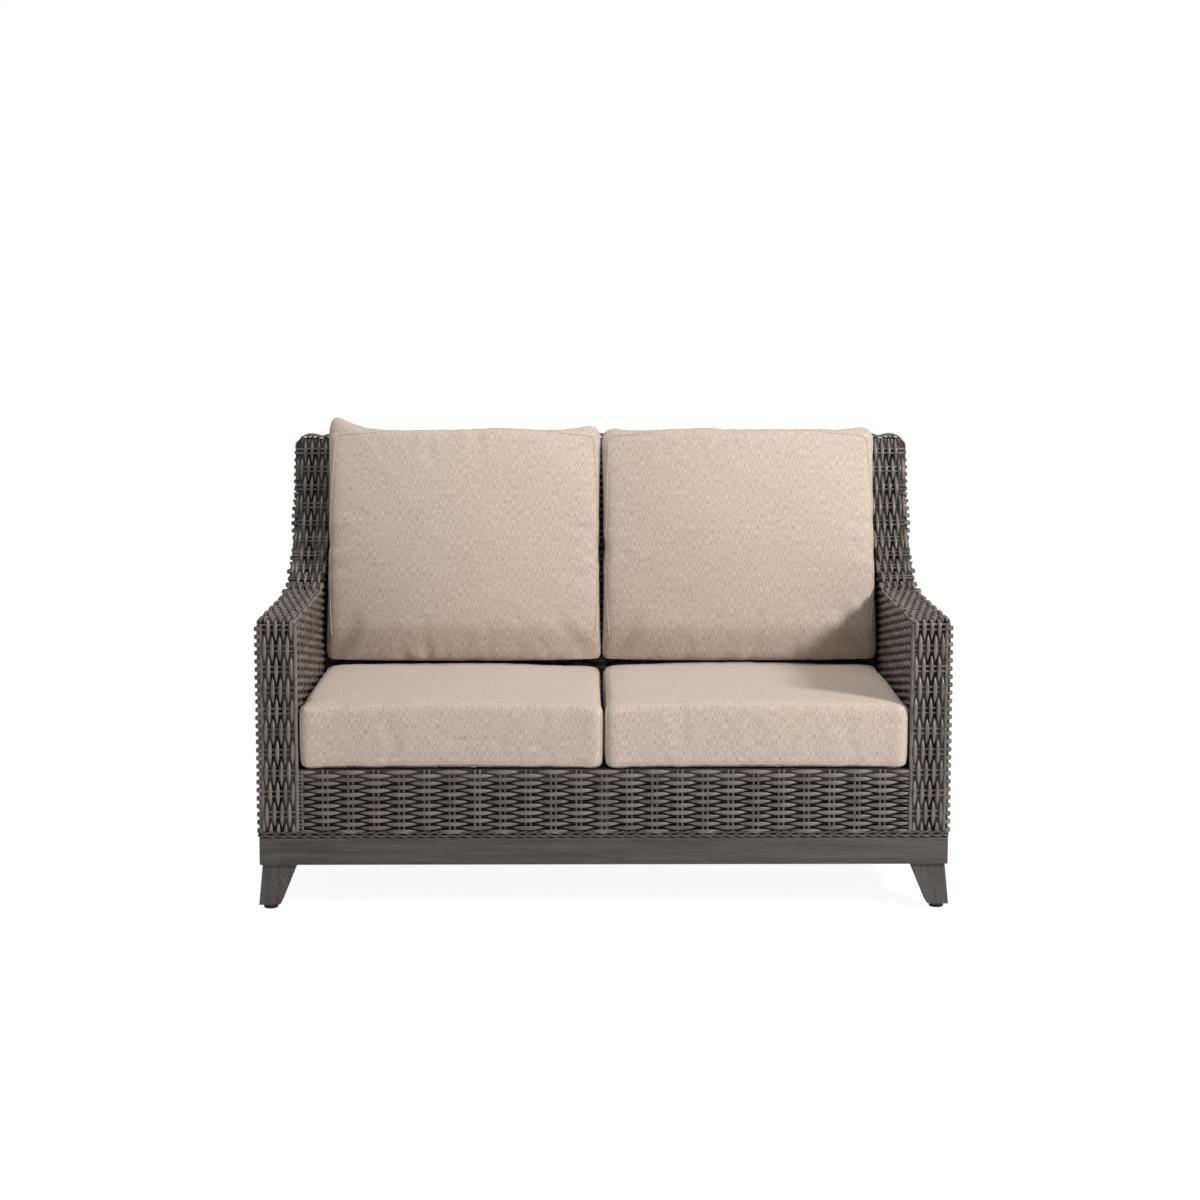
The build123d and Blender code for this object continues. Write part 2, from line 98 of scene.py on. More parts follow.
def new_material(name):
    material = bpy.data.materials.new(name)
    material.use_nodes = True
    return material, material.node_tree, material.node_tree.nodes["Principled BSDF"]


def new_object(name, data):
    made = bpy.data.objects.new(name, data)
    bpy.context.scene.collection.objects.link(made)
    return made


def as_mesh(obj):
    """The object's mesh as its modifiers leave it."""
    bpy.context.view_layer.update()
    return bpy.data.meshes.new_from_object(obj.evaluated_get(bpy.context.evaluated_depsgraph_get()))


# %% [markdown]
# ## The camera
# The photograph looks almost straight on, a little from above, from about five and a half metres.
# Three level edges, at the floor, the rail and the arms, gave the height, the tilt and the lens together.

# %% Camera
camera = new_object("camera", bpy.data.cameras.new("camera"))
camera.location = (-0.051, -5.625, 1.2714)
camera.rotation_euler = (math.radians(90 - 6.9), 0, math.radians(-0.47))
camera.data.lens = 77.3
camera.data.sensor_width = 36
bpy.context.scene.camera = camera
bpy.context.scene.view_settings.view_transform = "Standard"
print("camera lens", camera.data.lens)

# %% [markdown]
# ## Floor and light
# A pale floor runs into a white background; part of its brightness is a glow that only the camera
# sees, so it stays white and still shows the shadow. The main soft light stands high at the right, in
# front, because the right arm throws a soft shadow on the cushions beside it and the right side is
# paler. Two weaker wide lights fill from the front and from above, and the world gives the rest.

# %% Floor, world and lamps
bpy.ops.mesh.primitive_plane_add(size=40)
floor = bpy.context.object
floor.name = "floor"
floor_paint, tree, shader = new_material("matte_floor_paint")
connect(tree, shader, {"Base Color": linear("#f4f4f3"), "Roughness": 0.9})
seen = add(tree, "ShaderNodeLightPath", out="Is Camera Ray")
glow = add(tree, "ShaderNodeEmission", {"Color": (1, 1, 1, 1), "Strength": 1.24})
mixed = add(tree, "ShaderNodeMixShader", {0: ("MULTIPLY", seen, 0.75), 1: shader.outputs[0], 2: glow})
connect(tree, tree.nodes["Material Output"], {"Surface": mixed})
floor.data.materials.append(floor_paint)

world = bpy.data.worlds.new("studio")
bpy.context.scene.world = world
world.use_nodes = True
tree = world.node_tree
path = add(tree, "ShaderNodeLightPath", out=None).outputs
shown = ("MAXIMUM", path["Is Camera Ray"], path["Is Transmission Ray"])
strength = add(tree, "ShaderNodeMix", {0: shown, 2: 0.3, 3: 1.0}, data_type="FLOAT")
connect(tree, tree.nodes["Background"], {"Color": (1, 1, 1, 1), "Strength": strength})


def lamp(name, place, target, width, power):
    light = bpy.data.lights.new(name, "AREA")
    light.shape = "DISK"
    light.size = width
    light.energy = power
    made = new_object(name, light)
    made.location = place
    made.rotation_euler = (Vector(target) - Vector(place)).to_track_quat("-Z", "Y").to_euler()


lamp("key_light", (3.4, -2.6, 2.7), (0.1, 0, 0.5), 0.8, 180)
lamp("fill_light", (0.2, -4.6, 2.2), (0, 0, 0.4), 2.4, 14)
lamp("overhead_light", (-0.2, -0.2, 3.4), (-0.2, -0.1, 0.4), 2.0, 43)

# %% [markdown]
# ## The outline that the weave follows
# Seen from the side, one line runs up the arm's front, round its nose, back along the level arm, up
# through the scoop and along the leaning back. A small function walks along straight runs with round
# corners and gives evenly spaced points with their directions; every path below comes from it.

# %% Sizes of the outline, and the function that walks along it
FRONT, REAR_LOW, TOP, ARM = -0.425, 0.365, 0.930, 0.603
HALF, INNER = 0.711, 0.627
RAIL_TOP, SKIN_FOOT, STRAND_FOOT, DECK = 0.150, 0.1636, 0.158, 0.292
LEAN = math.radians(16)
CREST_DEPTH, REAR_LEAN, SHOULDER = 0.068, 0.060, 0.028
NOSE, SCOOP = 0.015, 0.27086
REAR_SLOPE = REAR_LEAN / (TOP - RAIL_TOP)
# the middle of the weave lies this deep under the outline, and strands swing this far from it
MID, LIFT = 0.0048, 0.0044


def points_at(x, y, z):
    """Points in rows of three, from numbers and arrays."""
    return np.stack(np.broadcast_arrays(x, y, z), axis=1)


def recline_y(z, inset=0.0):
    """Depth of the leaning back's front face at a height."""
    return REAR_LOW + REAR_LEAN - CREST_DEPTH - (TOP - z) * math.tan(LEAN) + inset / math.cos(LEAN)


def rear_y(z, inset=0.0):
    """Depth of the back's rear face at a height."""
    return REAR_LOW + (z - RAIL_TOP) * REAR_SLOPE - inset


def walk(corners, radii, step=0.004):
    """Points and directions along straight runs whose corners are rounded to the radii."""
    corners = [np.array(c, float) for c in corners]
    points, ways = [], []

    def run(a, b):
        length = np.linalg.norm(b - a)
        for t in np.linspace(0, 1, max(2, round(length / step) + 1)):
            points.append(a + (b - a) * t)
            ways.append((b - a) / length)

    start = corners[0]
    for before, corner, after, radius in zip(corners, corners[1:], corners[2:], radii):
        a = (corner - before) / np.linalg.norm(corner - before)
        b = (after - corner) / np.linalg.norm(after - corner)
        turn = math.acos(np.clip(a @ b, -1, 1))
        side = np.sign(a[0] * b[1] - a[1] * b[0])
        reach = radius * math.tan(turn / 2)
        run(start, corner - a * reach)
        centre = corner - a * reach + side * radius * np.array([-a[1], a[0]])
        for t in np.linspace(0, 1, max(3, math.ceil(radius * turn / step) + 1))[1:-1]:
            c, s = math.cos(t * turn), math.sin(t * turn) * side
            way = np.array([a[0] * c - a[1] * s, a[0] * s + a[1] * c])
            points.append(centre - side * radius * np.array([-way[1], way[0]]))
            ways.append(way)
        start = corner + b * reach
    run(start, corners[-1])
    points, ways = np.array(points), np.array(ways)
    keep = np.append(True, np.linalg.norm(np.diff(points, axis=0), axis=1) > 1e-6)
    points, ways = points[keep], ways[keep]
    along = np.append(0, np.cumsum(np.linalg.norm(np.diff(points, axis=0), axis=1)))
    return points, ways, along


def side_profile(inset, foot, head):
    """The side outline from the foot of the arm's front to the crest, moved in by inset."""
    arm = ARM - inset
    corners = [(FRONT + inset, foot), (FRONT + inset, arm), (recline_y(arm, inset), arm),
               (recline_y(head, inset), head)]
    return walk(corners, [NOSE - inset, SCOOP + inset])


profile, profile_ways, profile_along = side_profile(MID, STRAND_FOOT, TOP - 0.006)
print("side outline", len(profile), "points,", round(profile_along[-1], 3), "m long")

# %% [markdown]
# ## Resin wicker
# The strand is extruded polyethylene, an oval about 9 mm wide, coloured in the mass and pressed
# with a fine grain along its length. It is woven by hand over pairs of thinner upright stakes: each
# strand passes in front of one pair and behind the next, and its neighbours do the opposite. From in
# front that reads as rows of pointed lenses with small dark gaps. Its sheen is that of moulded
# plastic, between satin and gloss. Four facts come with each strand: how far along it a point is, how
# far round it, its own tone, and how proud of the weave it stands. The first three let the grain follow
# every bend. The last paints shade into the colour where the strand lies deep in the weave, with a
# faint painted highlight where it stands proudest.

# %% Strand material
def strand_material(name, dark, pale, rough):
    """Extruded polyethylene: IOR 1.5, fine pressed grain, colour that drifts from strand to strand, painted
    shade in the hollows.
    """
    material, tree, shader = new_material(name)
    along, around, each, proud = [
        add(tree, "ShaderNodeAttribute", out="Fac", attribute_name=fact)
        for fact in ("grain_along", "grain_round", "strand_tone", "lens_face")]
    # one grain line is about 0.8 mm wide and 30 mm long; round the strand one unit is about 24 mm
    scaled = {0: ("MULTIPLY", along, 34.0), 1: ("MULTIPLY", around, 22.0), 2: ("MULTIPLY", each, 57.0)}
    place = add(tree, "ShaderNodeCombineXYZ", scaled)
    grain = add(tree, "ShaderNodeTexNoise", {"Vector": place, "Scale": 1.0, "Detail": 3.0, "Roughness": 0.6})
    # slow patches along the strand, about 25 mm long
    scaled = {0: ("MULTIPLY", along, 40.0), 1: ("MULTIPLY", each, 91.0)}
    place = add(tree, "ShaderNodeCombineXYZ", scaled)
    patch = add(tree, "ShaderNodeTexNoise", {"Vector": place, "Scale": 1.0, "Detail": 1.0})
    drift = ("ADD", ("MULTIPLY", patch, 0.55), ("MULTIPLY", each, 0.35))
    # painted shade: the colour darkens where the strand lies deep in the weave, with a faint painted highlight
    # where it stands proudest
    painted_shade_and_highlight = add(tree, "ShaderNodeMapRange", {0: proud, 1: 0.05, 2: 0.55, 3: -0.8, 4: 0.03},
                   interpolation_type="SMOOTHSTEP")
    tone = ("ADD", ("MULTIPLY", grain, 0.6), ("ADD", ("SUBTRACT", drift, 0.25), painted_shade_and_highlight))
    colour = add(tree, "ShaderNodeValToRGB", {0: tone}, stops=((0.05, dark), (0.72, pale)))
    bump = add(tree, "ShaderNodeBump", {"Height": grain, "Strength": 0.35, "Distance": 0.0004})
    roughness = add(tree, "ShaderNodeMapRange", {0: grain, 1: 0.3, 2: 0.7, 3: rough - 0.06, 4: rough + 0.08})
    connect(tree, shader, {"Base Color": colour, "Normal": bump, "Roughness": roughness, "IOR": 1.5})
    return material


wicker = strand_material("extruded_resin_wicker", "#13100e", "#776d65", 0.33)
braid_resin = strand_material("twisted_resin_braid", "#120f0d", "#574e48", 0.42)
print("strand materials", wicker.name, braid_resin.name)

# %% [markdown]
# A mesh of plain guide lines carries the facts that the weave needs: which way is outwards, how far
# along its panel each point lies, and the row it belongs to. The node tree below turns guides into
# strands: it spaces the points out, bends each row in and out over the stakes as a cosine with its
# sign changed from row to row, and sweeps an oval along it. Drawing each strand by hand would give
# tens of thousands of points; an array of one motif couldn't follow the scoop.

# %% What every strand tree begins and ends with
GUIDE_FACTS = (("outward", "FLOAT_VECTOR"), ("along", "FLOAT"), ("row", "FLOAT"))


def start_tree(name, sizes):
    """A tree with named inputs that spaces its guides out and reads the facts on them."""
    tree = bpy.data.node_groups.new(name, "GeometryNodeTree")
    tree.interface.new_socket("Geometry", in_out="INPUT", socket_type="NodeSocketGeometry")
    for label, value in {**sizes, "Material": None}.items():
        kind = {float: "Float", int: "Int"}.get(type(value), "Material")
        socket = tree.interface.new_socket(label, in_out="INPUT", socket_type=f"NodeSocket{kind}")
        if value is not None:
            socket.default_value = value
    tree.interface.new_socket("Geometry", in_out="OUTPUT", socket_type="NodeSocketGeometry")
    given = add(tree, "NodeGroupInput", out=None).outputs
    lines = add(tree, "GeometryNodeMeshToCurve", {"Mesh": given["Geometry"]})
    spacing = {"Curve": lines, "Length": given["Step"]}
    spaced = add(tree, "GeometryNodeResampleCurve", spacing, mode="LENGTH")
    facts = [add(tree, "GeometryNodeInputNamedAttribute", {"Name": fact}, data_type=kind)
             for fact, kind in GUIDE_FACTS]
    return tree, given, spaced, facts


def finish_tree(tree, given, curve, outward, facts, girth=1.0):
    """Sweeps an oval along the curve, with its width across the outward way and the facts stored."""
    ring = add(tree, "GeometryNodeCurvePrimitiveCircle", {"Resolution": given["Sides"], "Radius": 1.0},
               mode="RADIUS")
    curve = add(tree, "GeometryNodeSetCurveNormal", {"Curve": curve, "Normal": outward}, mode="FREE")
    for fact, value in facts.items():
        stored = {"Geometry": curve, "Name": fact, "Value": value}
        curve = add(tree, "GeometryNodeStoreNamedAttribute", stored, data_type="FLOAT", domain="POINT")
    share = add(tree, "GeometryNodeSplineParameter", out="Factor")
    stored = {"Geometry": ring, "Name": "grain_round", "Value": share}
    ring = add(tree, "GeometryNodeStoreNamedAttribute", stored, data_type="FLOAT", domain="POINT")
    halves = {0: ("MULTIPLY", given["Thickness"], 0.5), 1: ("MULTIPLY", given["Width"], 0.5), 2: 1.0}
    size = add(tree, "ShaderNodeCombineXYZ", halves)
    oval = add(tree, "GeometryNodeTransform", {"Geometry": ring, "Scale": size})
    swept = add(tree, "GeometryNodeCurveToMesh",
                {"Curve": curve, "Profile Curve": oval, "Scale": girth, "Fill Caps": True})
    smooth = add(tree, "GeometryNodeSetShadeSmooth", {"Geometry": swept})
    real = add(tree, "GeometryNodeRealizeInstances", {"Geometry": smooth})
    dressed = add(tree, "GeometryNodeSetMaterial", {"Geometry": real, "Material": given["Material"]})
    connect(tree, add(tree, "NodeGroupOutput", out=None), {0: dressed})
    return tree


# %% Node tree that weaves strands along guide lines
def strand_tree():
    tree, given, spaced, (outward, along, row) = start_tree("woven_strands", {
        "Width": 0.0096, "Thickness": 0.0042, "Stake Spacing": 0.052, "Lift": LIFT, "Step": 0.007,
        "End Fade": 0.0, "Wander": 0.0005, "Sides": 8, "Seed": 3})
    here = add(tree, "GeometryNodeSplineParameter", out="Length")
    whole = add(tree, "GeometryNodeSplineLength", out="Length")
    nearest = ("MINIMUM", here, ("SUBTRACT", whole, here))
    fade = add(tree, "ShaderNodeMapRange", {0: nearest, 1: 0.0, 2: ("ADD", given["End Fade"], 0.00001)},
               interpolation_type="SMOOTHSTEP")
    phase = ("MULTIPLY", ("ADD", ("DIVIDE", along, given["Stake Spacing"]), row), math.pi)
    swing = add(tree, ("MULTIPLY", ("COSINE", phase), fade))
    # where a strand dives between its neighbours it turns on edge and shows narrower
    woven = add(tree, ("GREATER_THAN", given["Lift"], 0.002))
    diving = add(tree, "ShaderNodeMapRange", {0: swing, 1: 0.9, 2: -0.5}, interpolation_type="SMOOTHSTEP")
    girth = ("SUBTRACT", 1.0, ("MULTIPLY", ("MULTIPLY", diving, 0.68), woven))
    # hand work is never quite even: a slow wander of half a millimetre, different for each row
    place = add(tree, "GeometryNodeInputPosition")
    row_place = add(tree, "ShaderNodeCombineXYZ", {0: ("MULTIPLY", row, 3.7), 1: given["Seed"]})
    cloud_place = ("vector ADD", ("vector SCALE", place, 18.0), row_place)
    cloud = add(tree, "ShaderNodeTexNoise", {"Vector": cloud_place, "Scale": 1.0, "Detail": 1.0}, "Color")
    centred = ("vector SUBTRACT", cloud, (0.5, 0.5, 0.5))
    wander = ("vector SCALE", centred, ("MULTIPLY", given["Wander"], 4.0))
    wave = ("vector SCALE", outward, ("MULTIPLY", swing, given["Lift"]))
    moved = add(tree, "GeometryNodeSetPosition",
                {"Geometry": spaced, "Offset": ("vector ADD", wave, wander)})
    tone = add(tree, "FunctionNodeRandomValue", {"ID": ("MULTIPLY", row, 7.0), "Seed": given["Seed"]},
               out=1, data_type="FLOAT")
    # lens_face: how proud of the weave the strand stands; the material paints shade into the colour from it
    proud = ("MULTIPLY", ("ADD", ("MULTIPLY", swing, woven), 1.0), 0.5)
    facts = {"strand_tone": tone, "grain_along": ("ADD", here, tone), "lens_face": proud}
    return finish_tree(tree, given, moved, outward, facts, girth)


weave_tree = strand_tree()
print("tree", weave_tree.name, len(weave_tree.nodes), "nodes")


# %% Guide lines and the finished strand
def guide_mesh(name, lines):
    """One mesh of open lines; each line is (points, outward directions, distances along, row)."""
    mesh = bpy.data.meshes.new(name)
    points = np.concatenate([line[0] for line in lines])
    counts = [len(line[0]) for line in lines]
    ends = set(np.cumsum(counts) - 1)
    mesh.from_pydata(points.tolist(), [(i, i + 1) for i in range(len(points)) if i not in ends], [])
    outward = [np.broadcast_to(line[1], line[0].shape) for line in lines]
    row = np.repeat([float(line[3]) for line in lines], counts)
    values = (np.concatenate(outward), np.concatenate([line[2] for line in lines]), row)
    for (fact, kind), value in zip(GUIDE_FACTS, values):
        data = mesh.attributes.new(fact, kind, "POINT").data
        key = "vector" if kind == "FLOAT_VECTOR" else "value"
        data.foreach_set(key, value.astype(np.float32).ravel())
    return mesh


def grow(name, lines, tree, **sizes):
    """Runs a node tree on guide lines and keeps the result as a plain mesh, with no modifier left."""
    host = new_object(name + "_guides", guide_mesh(name, lines))
    growing = host.modifiers.new("grow", "NODES")
    growing.node_group = tree
    for item in tree.interface.items_tree:
        key = item.name.lower().replace(" ", "_")
        if item.item_type == "SOCKET" and item.in_out == "INPUT" and key in sizes:
            growing[item.identifier] = sizes[key]
    plain = as_mesh(host)
    bpy.data.objects.remove(host)
    return new_object(name, plain)


def weave(name, lines, stand_for=(), **sizes):
    made = grow(name, lines, weave_tree, **{"material": wicker, **sizes})
    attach(made, "frame")
    if stand_for:
        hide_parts(*stand_for)
    triangles = sum(len(p.vertices) - 2 for p in made.data.polygons)
    print(name, len(lines), "strands,", triangles, "triangles")


# %% [markdown]
# ## Arms: the ribbon over front, top and scoop
# On each arm's face eight strands stand upright side by side, run over the nose, back along the arm,
# up the scoop and on to the crest. Up to the nose a plain border strand closes each edge; from there
# on one more woven strand does. Pairs of thin stakes lie across them every 43 mm.

# %% Arm ribbons
RIBBON_STAKES, STAKE_GAP = 0.043, 0.0102
RIBBON_STRAND, BORDER, CROSS_STAKE, STAKE_THICK = 0.0085, 0.0080, 0.0048, 0.0034
ribbon_xs = np.linspace(INNER + 0.0030, HALF - 0.0110, 10)
edge_x = HALF - 0.0100
nose_at = 0.5856 - STRAND_FOOT
UNDER_CREST = 0.003


def on_profile(x, out=0.0, start=0.0, end=math.inf):
    """The side outline laid at x, moved outwards, between two distances along it."""
    keep = (profile_along >= start) & (profile_along <= end)
    into = SHOULDER - min(SHOULDER, HALF - abs(x))
    keep &= profile[:, 1] < TOP - SHOULDER + math.sqrt(SHOULDER ** 2 - into ** 2) - UNDER_CREST
    outward = points_at(0, -profile_ways[keep, 1], profile_ways[keep, 0])
    flat = points_at(x, profile[keep, 0], profile[keep, 1])
    return flat + outward * out, outward, profile_along[keep] - nose_at


def cross_stakes(distances, low_x, high_x):
    """Pairs of thin stakes laid across the ribbon at these distances along it."""
    xs = np.linspace(low_x, high_x, 12)
    lines = []
    for k, middle in enumerate(distances):
        for s in (middle - STAKE_GAP / 2, middle + STAKE_GAP / 2):
            y, z, way_y, way_z = (np.interp(s, profile_along, v) for v in (*profile.T, *profile_ways.T))
            lines.append((points_at(xs, y, z), np.array([0, -way_z, way_y]), xs, k))
    return lines


stake_places = nose_at + RIBBON_STAKES * np.arange(-20, 40)
stake_places = stake_places[(stake_places > 0.012) & (stake_places < profile_along[-1] - 0.01)]
for side, sign in SIDES:
    lines = [(*on_profile(sign * x), k) for k, x in enumerate(ribbon_xs[1:-1])]
    lines.append((*on_profile(sign * edge_x, start=nose_at), 9))
    lines.append((*on_profile(sign * ribbon_xs[0], -0.0028, start=nose_at + 0.004), 1))
    weave(f"arm_ribbon_{side}", lines, (f"arm_front_weave_{side}", f"arm_top_weave_{side}"),
          stake_spacing=RIBBON_STAKES, width=RIBBON_STRAND, seed=11 + sign)
    borders = ((ribbon_xs[0], 0.0012), (ribbon_xs[-1], -0.0004))
    lines = [(*on_profile(sign * x, out, end=nose_at + 0.006), k) for k, (x, out) in enumerate(borders)]
    weave(f"arm_borders_{side}", lines, width=BORDER, thickness=0.0050, lift=0.0, wander=0.0007,
          seed=15 + sign)
    ends = sorted((sign * (INNER + 0.003), sign * (HALF - 0.004)))
    weave(f"arm_ribbon_stakes_{side}", cross_stakes(stake_places, *ends), width=CROSS_STAKE,
          thickness=STAKE_THICK, lift=0.0, sides=6, step=0.012, seed=21 + sign)

# %% [markdown]
# ## Arms: outer and inner faces
# On the faces of the arms the strands lie level over upright stakes. Every second one bulges round
# the front corner, which gives the arm its beaded edge. The outer rows also carry on round the back
# corners, where they meet the rows of the back.

# %% Level rows on the outer sides, the back and the inner faces
LEVEL_ROW, SIDE_STAKES = 0.00836, 0.052
MIRROR = np.array([-1, 1, 1])
# a knob starts at the ribbon's last strand, bulges round the corner and joins its face
KNOB_FROM, KNOB_OUT, KNOB_BACK, PLAIN_START = 0.0125, 0.0034, 0.022, 0.010
KNOB_RADIUS, JOIN_RADIUS, BACK_RADIUS = 0.0055, 0.05, 0.012
scoop_line = profile[profile_along > 0.5]


def ribbon_y(z):
    """Depth of the ribbon at a height: the arm's front, or the scoop above it."""
    return FRONT + MID if z < ARM - 0.006 else float(np.interp(z, scoop_line[:, 1], scoop_line[:, 0]))


def plan_row(z, row):
    """One level row round the left side and the left half of the back, cut at the back corner."""
    start, back = ribbon_y(z), rear_y(z, MID)
    x = HALF - MID - SHOULDER + math.sqrt(SHOULDER ** 2 - max(0, z - TOP + SHOULDER) ** 2)
    corners, radii = [(-x, start + PLAIN_START), (-x, back), (0, back)], [BACK_RADIUS]
    if row % 2 == 0:
        # above the arm the knobs stand further forward, clear of the ribbon's last strand
        start -= 0.003 * (z > ARM)
        knob = [(-HALF + KNOB_FROM, start + 0.001), (-x - KNOB_OUT, start), (-x, start + KNOB_BACK)]
        corners, radii = knob + corners[1:], [KNOB_RADIUS, JOIN_RADIUS] + radii
    points, ways, _ = walk(corners, radii)
    outward = points_at(-ways[:, 1], ways[:, 0], 0)
    flat = points_at(points[:, 0], points[:, 1], z)
    cut = np.argmin(np.abs(outward[:, 0] + outward[:, 1]))
    side_row = (flat[:cut + 1], outward[:cut + 1], flat[:cut + 1, 1] - FRONT, row)
    return side_row, flat[cut:], outward[cut:]


def both_sides(lines):
    """The left side's lines, and their mirror image for the right side."""
    return ("left", lines), ("right", [(p * MIRROR, out * MIRROR, along, row) for p, out, along, row in lines])


left_rows, back_rows = [], []
for k, z in enumerate(np.arange(SKIN_FOOT + 0.0010, TOP - 0.012, LEVEL_ROW)):
    side_row, *half = plan_row(z, k)
    if z < TOP - 0.030:
        left_rows.append(side_row)
    points, outward = (np.concatenate([part, part[-2::-1] * MIRROR]) for part in half)
    back_rows.append((points, outward, points[:, 0] + 0.5 * SIDE_STAKES, k))
for (side, rows), seed in zip(both_sides(left_rows), (35, 36)):
    weave(f"outer_side_{side}", rows, (f"side_weave_{side}",), width=0.0102, step=0.0055, sides=6,
          end_fade=0.004, seed=seed)
middle = len(back_rows) // 2
weave("rear_rows_low", back_rows[:middle], ("back_rear_weave",), step=0.0095, sides=6, end_fade=0.03,
      seed=41)
weave("rear_rows_high", back_rows[middle:], step=0.0095, sides=6, end_fade=0.03, seed=42)

left_rows = []
for k, z in enumerate(np.arange(DECK + 0.004, ARM + 0.19, LEVEL_ROW)):
    x, start, end = -INNER - MID, ribbon_y(z), recline_y(z, MID)
    if end - start < 0.02:
        continue
    lead = [] if k % 2 else [(-INNER - 0.0115, start + 0.001)]
    points, ways, _ = walk(lead + [(x, start + PLAIN_START * (k % 2)), (x, end)], [KNOB_RADIUS] * len(lead))
    outward = points_at(np.abs(ways[:, 1]), -np.abs(ways[:, 0]), 0)
    left_rows.append((points_at(points[:, 0], points[:, 1], z), outward, points[:, 1] - FRONT, k))
for (side, rows), seed in zip(both_sides(left_rows), (50, 52)):
    weave(f"inner_side_{side}", rows, (f"arm_inner_weave_{side}",), step=0.0055, sides=6,
          end_fade=0.004, seed=seed)

# %% [markdown]
# ## Apron and the back's front
# The apron under the cushions and the panel behind them are plain rectangles of level rows. The
# panel leans with the back.

# %% Apron and leaning panel
facing = np.array([0, -math.cos(LEAN), math.sin(LEAN)])


def apron_y(z):
    return FRONT + MID


def panel_y(z):
    return recline_y(z, MID)


def level_rows(heights, y_at, outward):
    """Level rows from arm to arm on a plain panel."""
    xs = np.linspace(-INNER + 0.001, INNER - 0.001, 160)
    return [(points_at(xs, y_at(z), z), np.array(outward, float), xs, k) for k, z in enumerate(heights)]


heights = np.linspace(SKIN_FOOT - 0.0010, DECK - 0.0054, 17)
weave("apron_rows", level_rows(heights, apron_y, (0, -1, 0)), ("apron_weave",), width=0.0092,
      end_fade=0.02, seed=61)
heights = np.arange(DECK + 0.004, TOP - 0.012, LEVEL_ROW * math.cos(LEAN))
weave("back_panel_rows", level_rows(heights, panel_y, facing), ("back_front_weave",), step=0.0095,
      sides=6, end_fade=0.02, seed=71)

# %% [markdown]
# ## Stakes
# The upright stakes show in the gaps between the lenses, two by two. They stand in the middle of
# each skin, so the rows pass in front of them and behind them.

# %% Stakes of the level rows
FIRST_STAKE, PAIR_GAP, HEAD_ROOM = 0.0042, 0.0098, 0.004
thin = {"width": 0.0052, "thickness": STAKE_THICK, "lift": 0.0, "sides": 6, "step": 0.015}
walked_to_arm = profile_along > 0.43


def profile_z(y):
    """Height of the side outline over a depth."""
    return float(np.interp(y, profile[walked_to_arm][:, 0], profile[walked_to_arm][:, 1]))


def upright(foot, head, outward):
    foot, head = np.array(foot, float), np.array(head, float)
    t = np.linspace(0, 1, 10)
    return foot + np.outer(t, head - foot), np.array(outward, float), t * np.linalg.norm(head - foot)


def stake_pairs(places, make):
    """Two stakes for each place, where the face is high enough for them."""
    lines = []
    for k, place in enumerate(places):
        for number, at in enumerate((place - PAIR_GAP / 2, place + PAIR_GAP / 2)):
            line = make(at)
            if line is not None:
                lines.append((*line, 2 * k + number))
    return lines


def panel_stakes(places, y_at, low, high, outward):
    return stake_pairs(places, lambda x: upright((x, y_at(low), low), (x, y_at(high), high), outward))


def side_stake(y):
    y = max(y, FRONT + FIRST_STAKE)
    if y > rear_y(SKIN_FOOT, MID):
        return None
    head = min(profile_z(y) - HEAD_ROOM, TOP - 0.03)
    return upright((-HALF + MID, y, SKIN_FOOT), (-HALF + MID, y, head), (-1, 0, 0))


def inner_stake(y):
    y = max(y, FRONT + FIRST_STAKE)
    head = profile_z(y) - HEAD_ROOM
    foot = max(DECK, DECK + (y - recline_y(DECK)) / math.tan(LEAN))
    if head - foot < 0.02:
        return None
    return upright((-INNER - MID, y, foot), (-INNER - MID, y, head), (1, 0, 0))


apron_places = SIDE_STAKES * np.arange(-12, 12)
rear_places = SIDE_STAKES * (np.arange(-13, 13) + 0.5)
side_places = FRONT + 0.0045 + SIDE_STAKES * np.arange(0, 16)
weave("apron_stakes", panel_stakes(apron_places, apron_y, SKIN_FOOT, DECK - 0.001, (0, -1, 0)),
      **thin, seed=81)
for face, make, first_seed in (("outer", side_stake, 82), ("inner", inner_stake, 84)):
    for number, (side, rows) in enumerate(both_sides(stake_pairs(side_places, make))):
        weave(f"{face}_stakes_{side}", rows, **thin, seed=first_seed + number)
weave("back_panel_stakes", panel_stakes(apron_places, panel_y, DECK, TOP - 0.01, facing), **thin, seed=86)
rows = panel_stakes(rear_places, lambda z: rear_y(z, MID), SKIN_FOOT, TOP - 0.01, (0, 1, 0))
weave("rear_stakes", rows, **thin, seed=87)

# %% [markdown]
# ## Painted shade behind the weave
# Nearly every gap of the weave shows black, even low in the apron, where one would otherwise look
# through under the seat to the bright floor. So thin black sheets stand behind the woven faces as
# painted shade for the inside of the hollow weave. Their look is only their darkness, so each sheet is
# a plain closed band.

# %% Black sheets of painted shade behind the woven faces
# how far in from the outline the black sheets of painted shade stand, how thick they are, and where they end
SHADE_SHEET_INSET, SHEET = 0.0122, 0.0008
SHADE_SHEET_FOOT, SHADE_SHEET_HEAD = SKIN_FOOT - 0.010, TOP - 0.014


def band(rings):
    """A closed band through rings of four points."""
    faces = [(0, 1, 2, 3), tuple(4 * (len(rings) - 1) + i for i in (3, 2, 1, 0))]
    for k in range(len(rings) - 1):
        faces += [(4 * k + i, 4 * k + (i + 1) % 4, 4 * k + 4 + (i + 1) % 4, 4 * k + 4 + i) for i in range(4)]
    return np.array(rings, float).reshape(-1, 3), faces


def level_sheet(x, places):
    """A sheet across the seat through places (y, z), with its thickness behind them."""
    return band([[(-x, y, z), (x, y, z), (x, y + SHEET, z), (-x, y + SHEET, z)] for y, z in places])


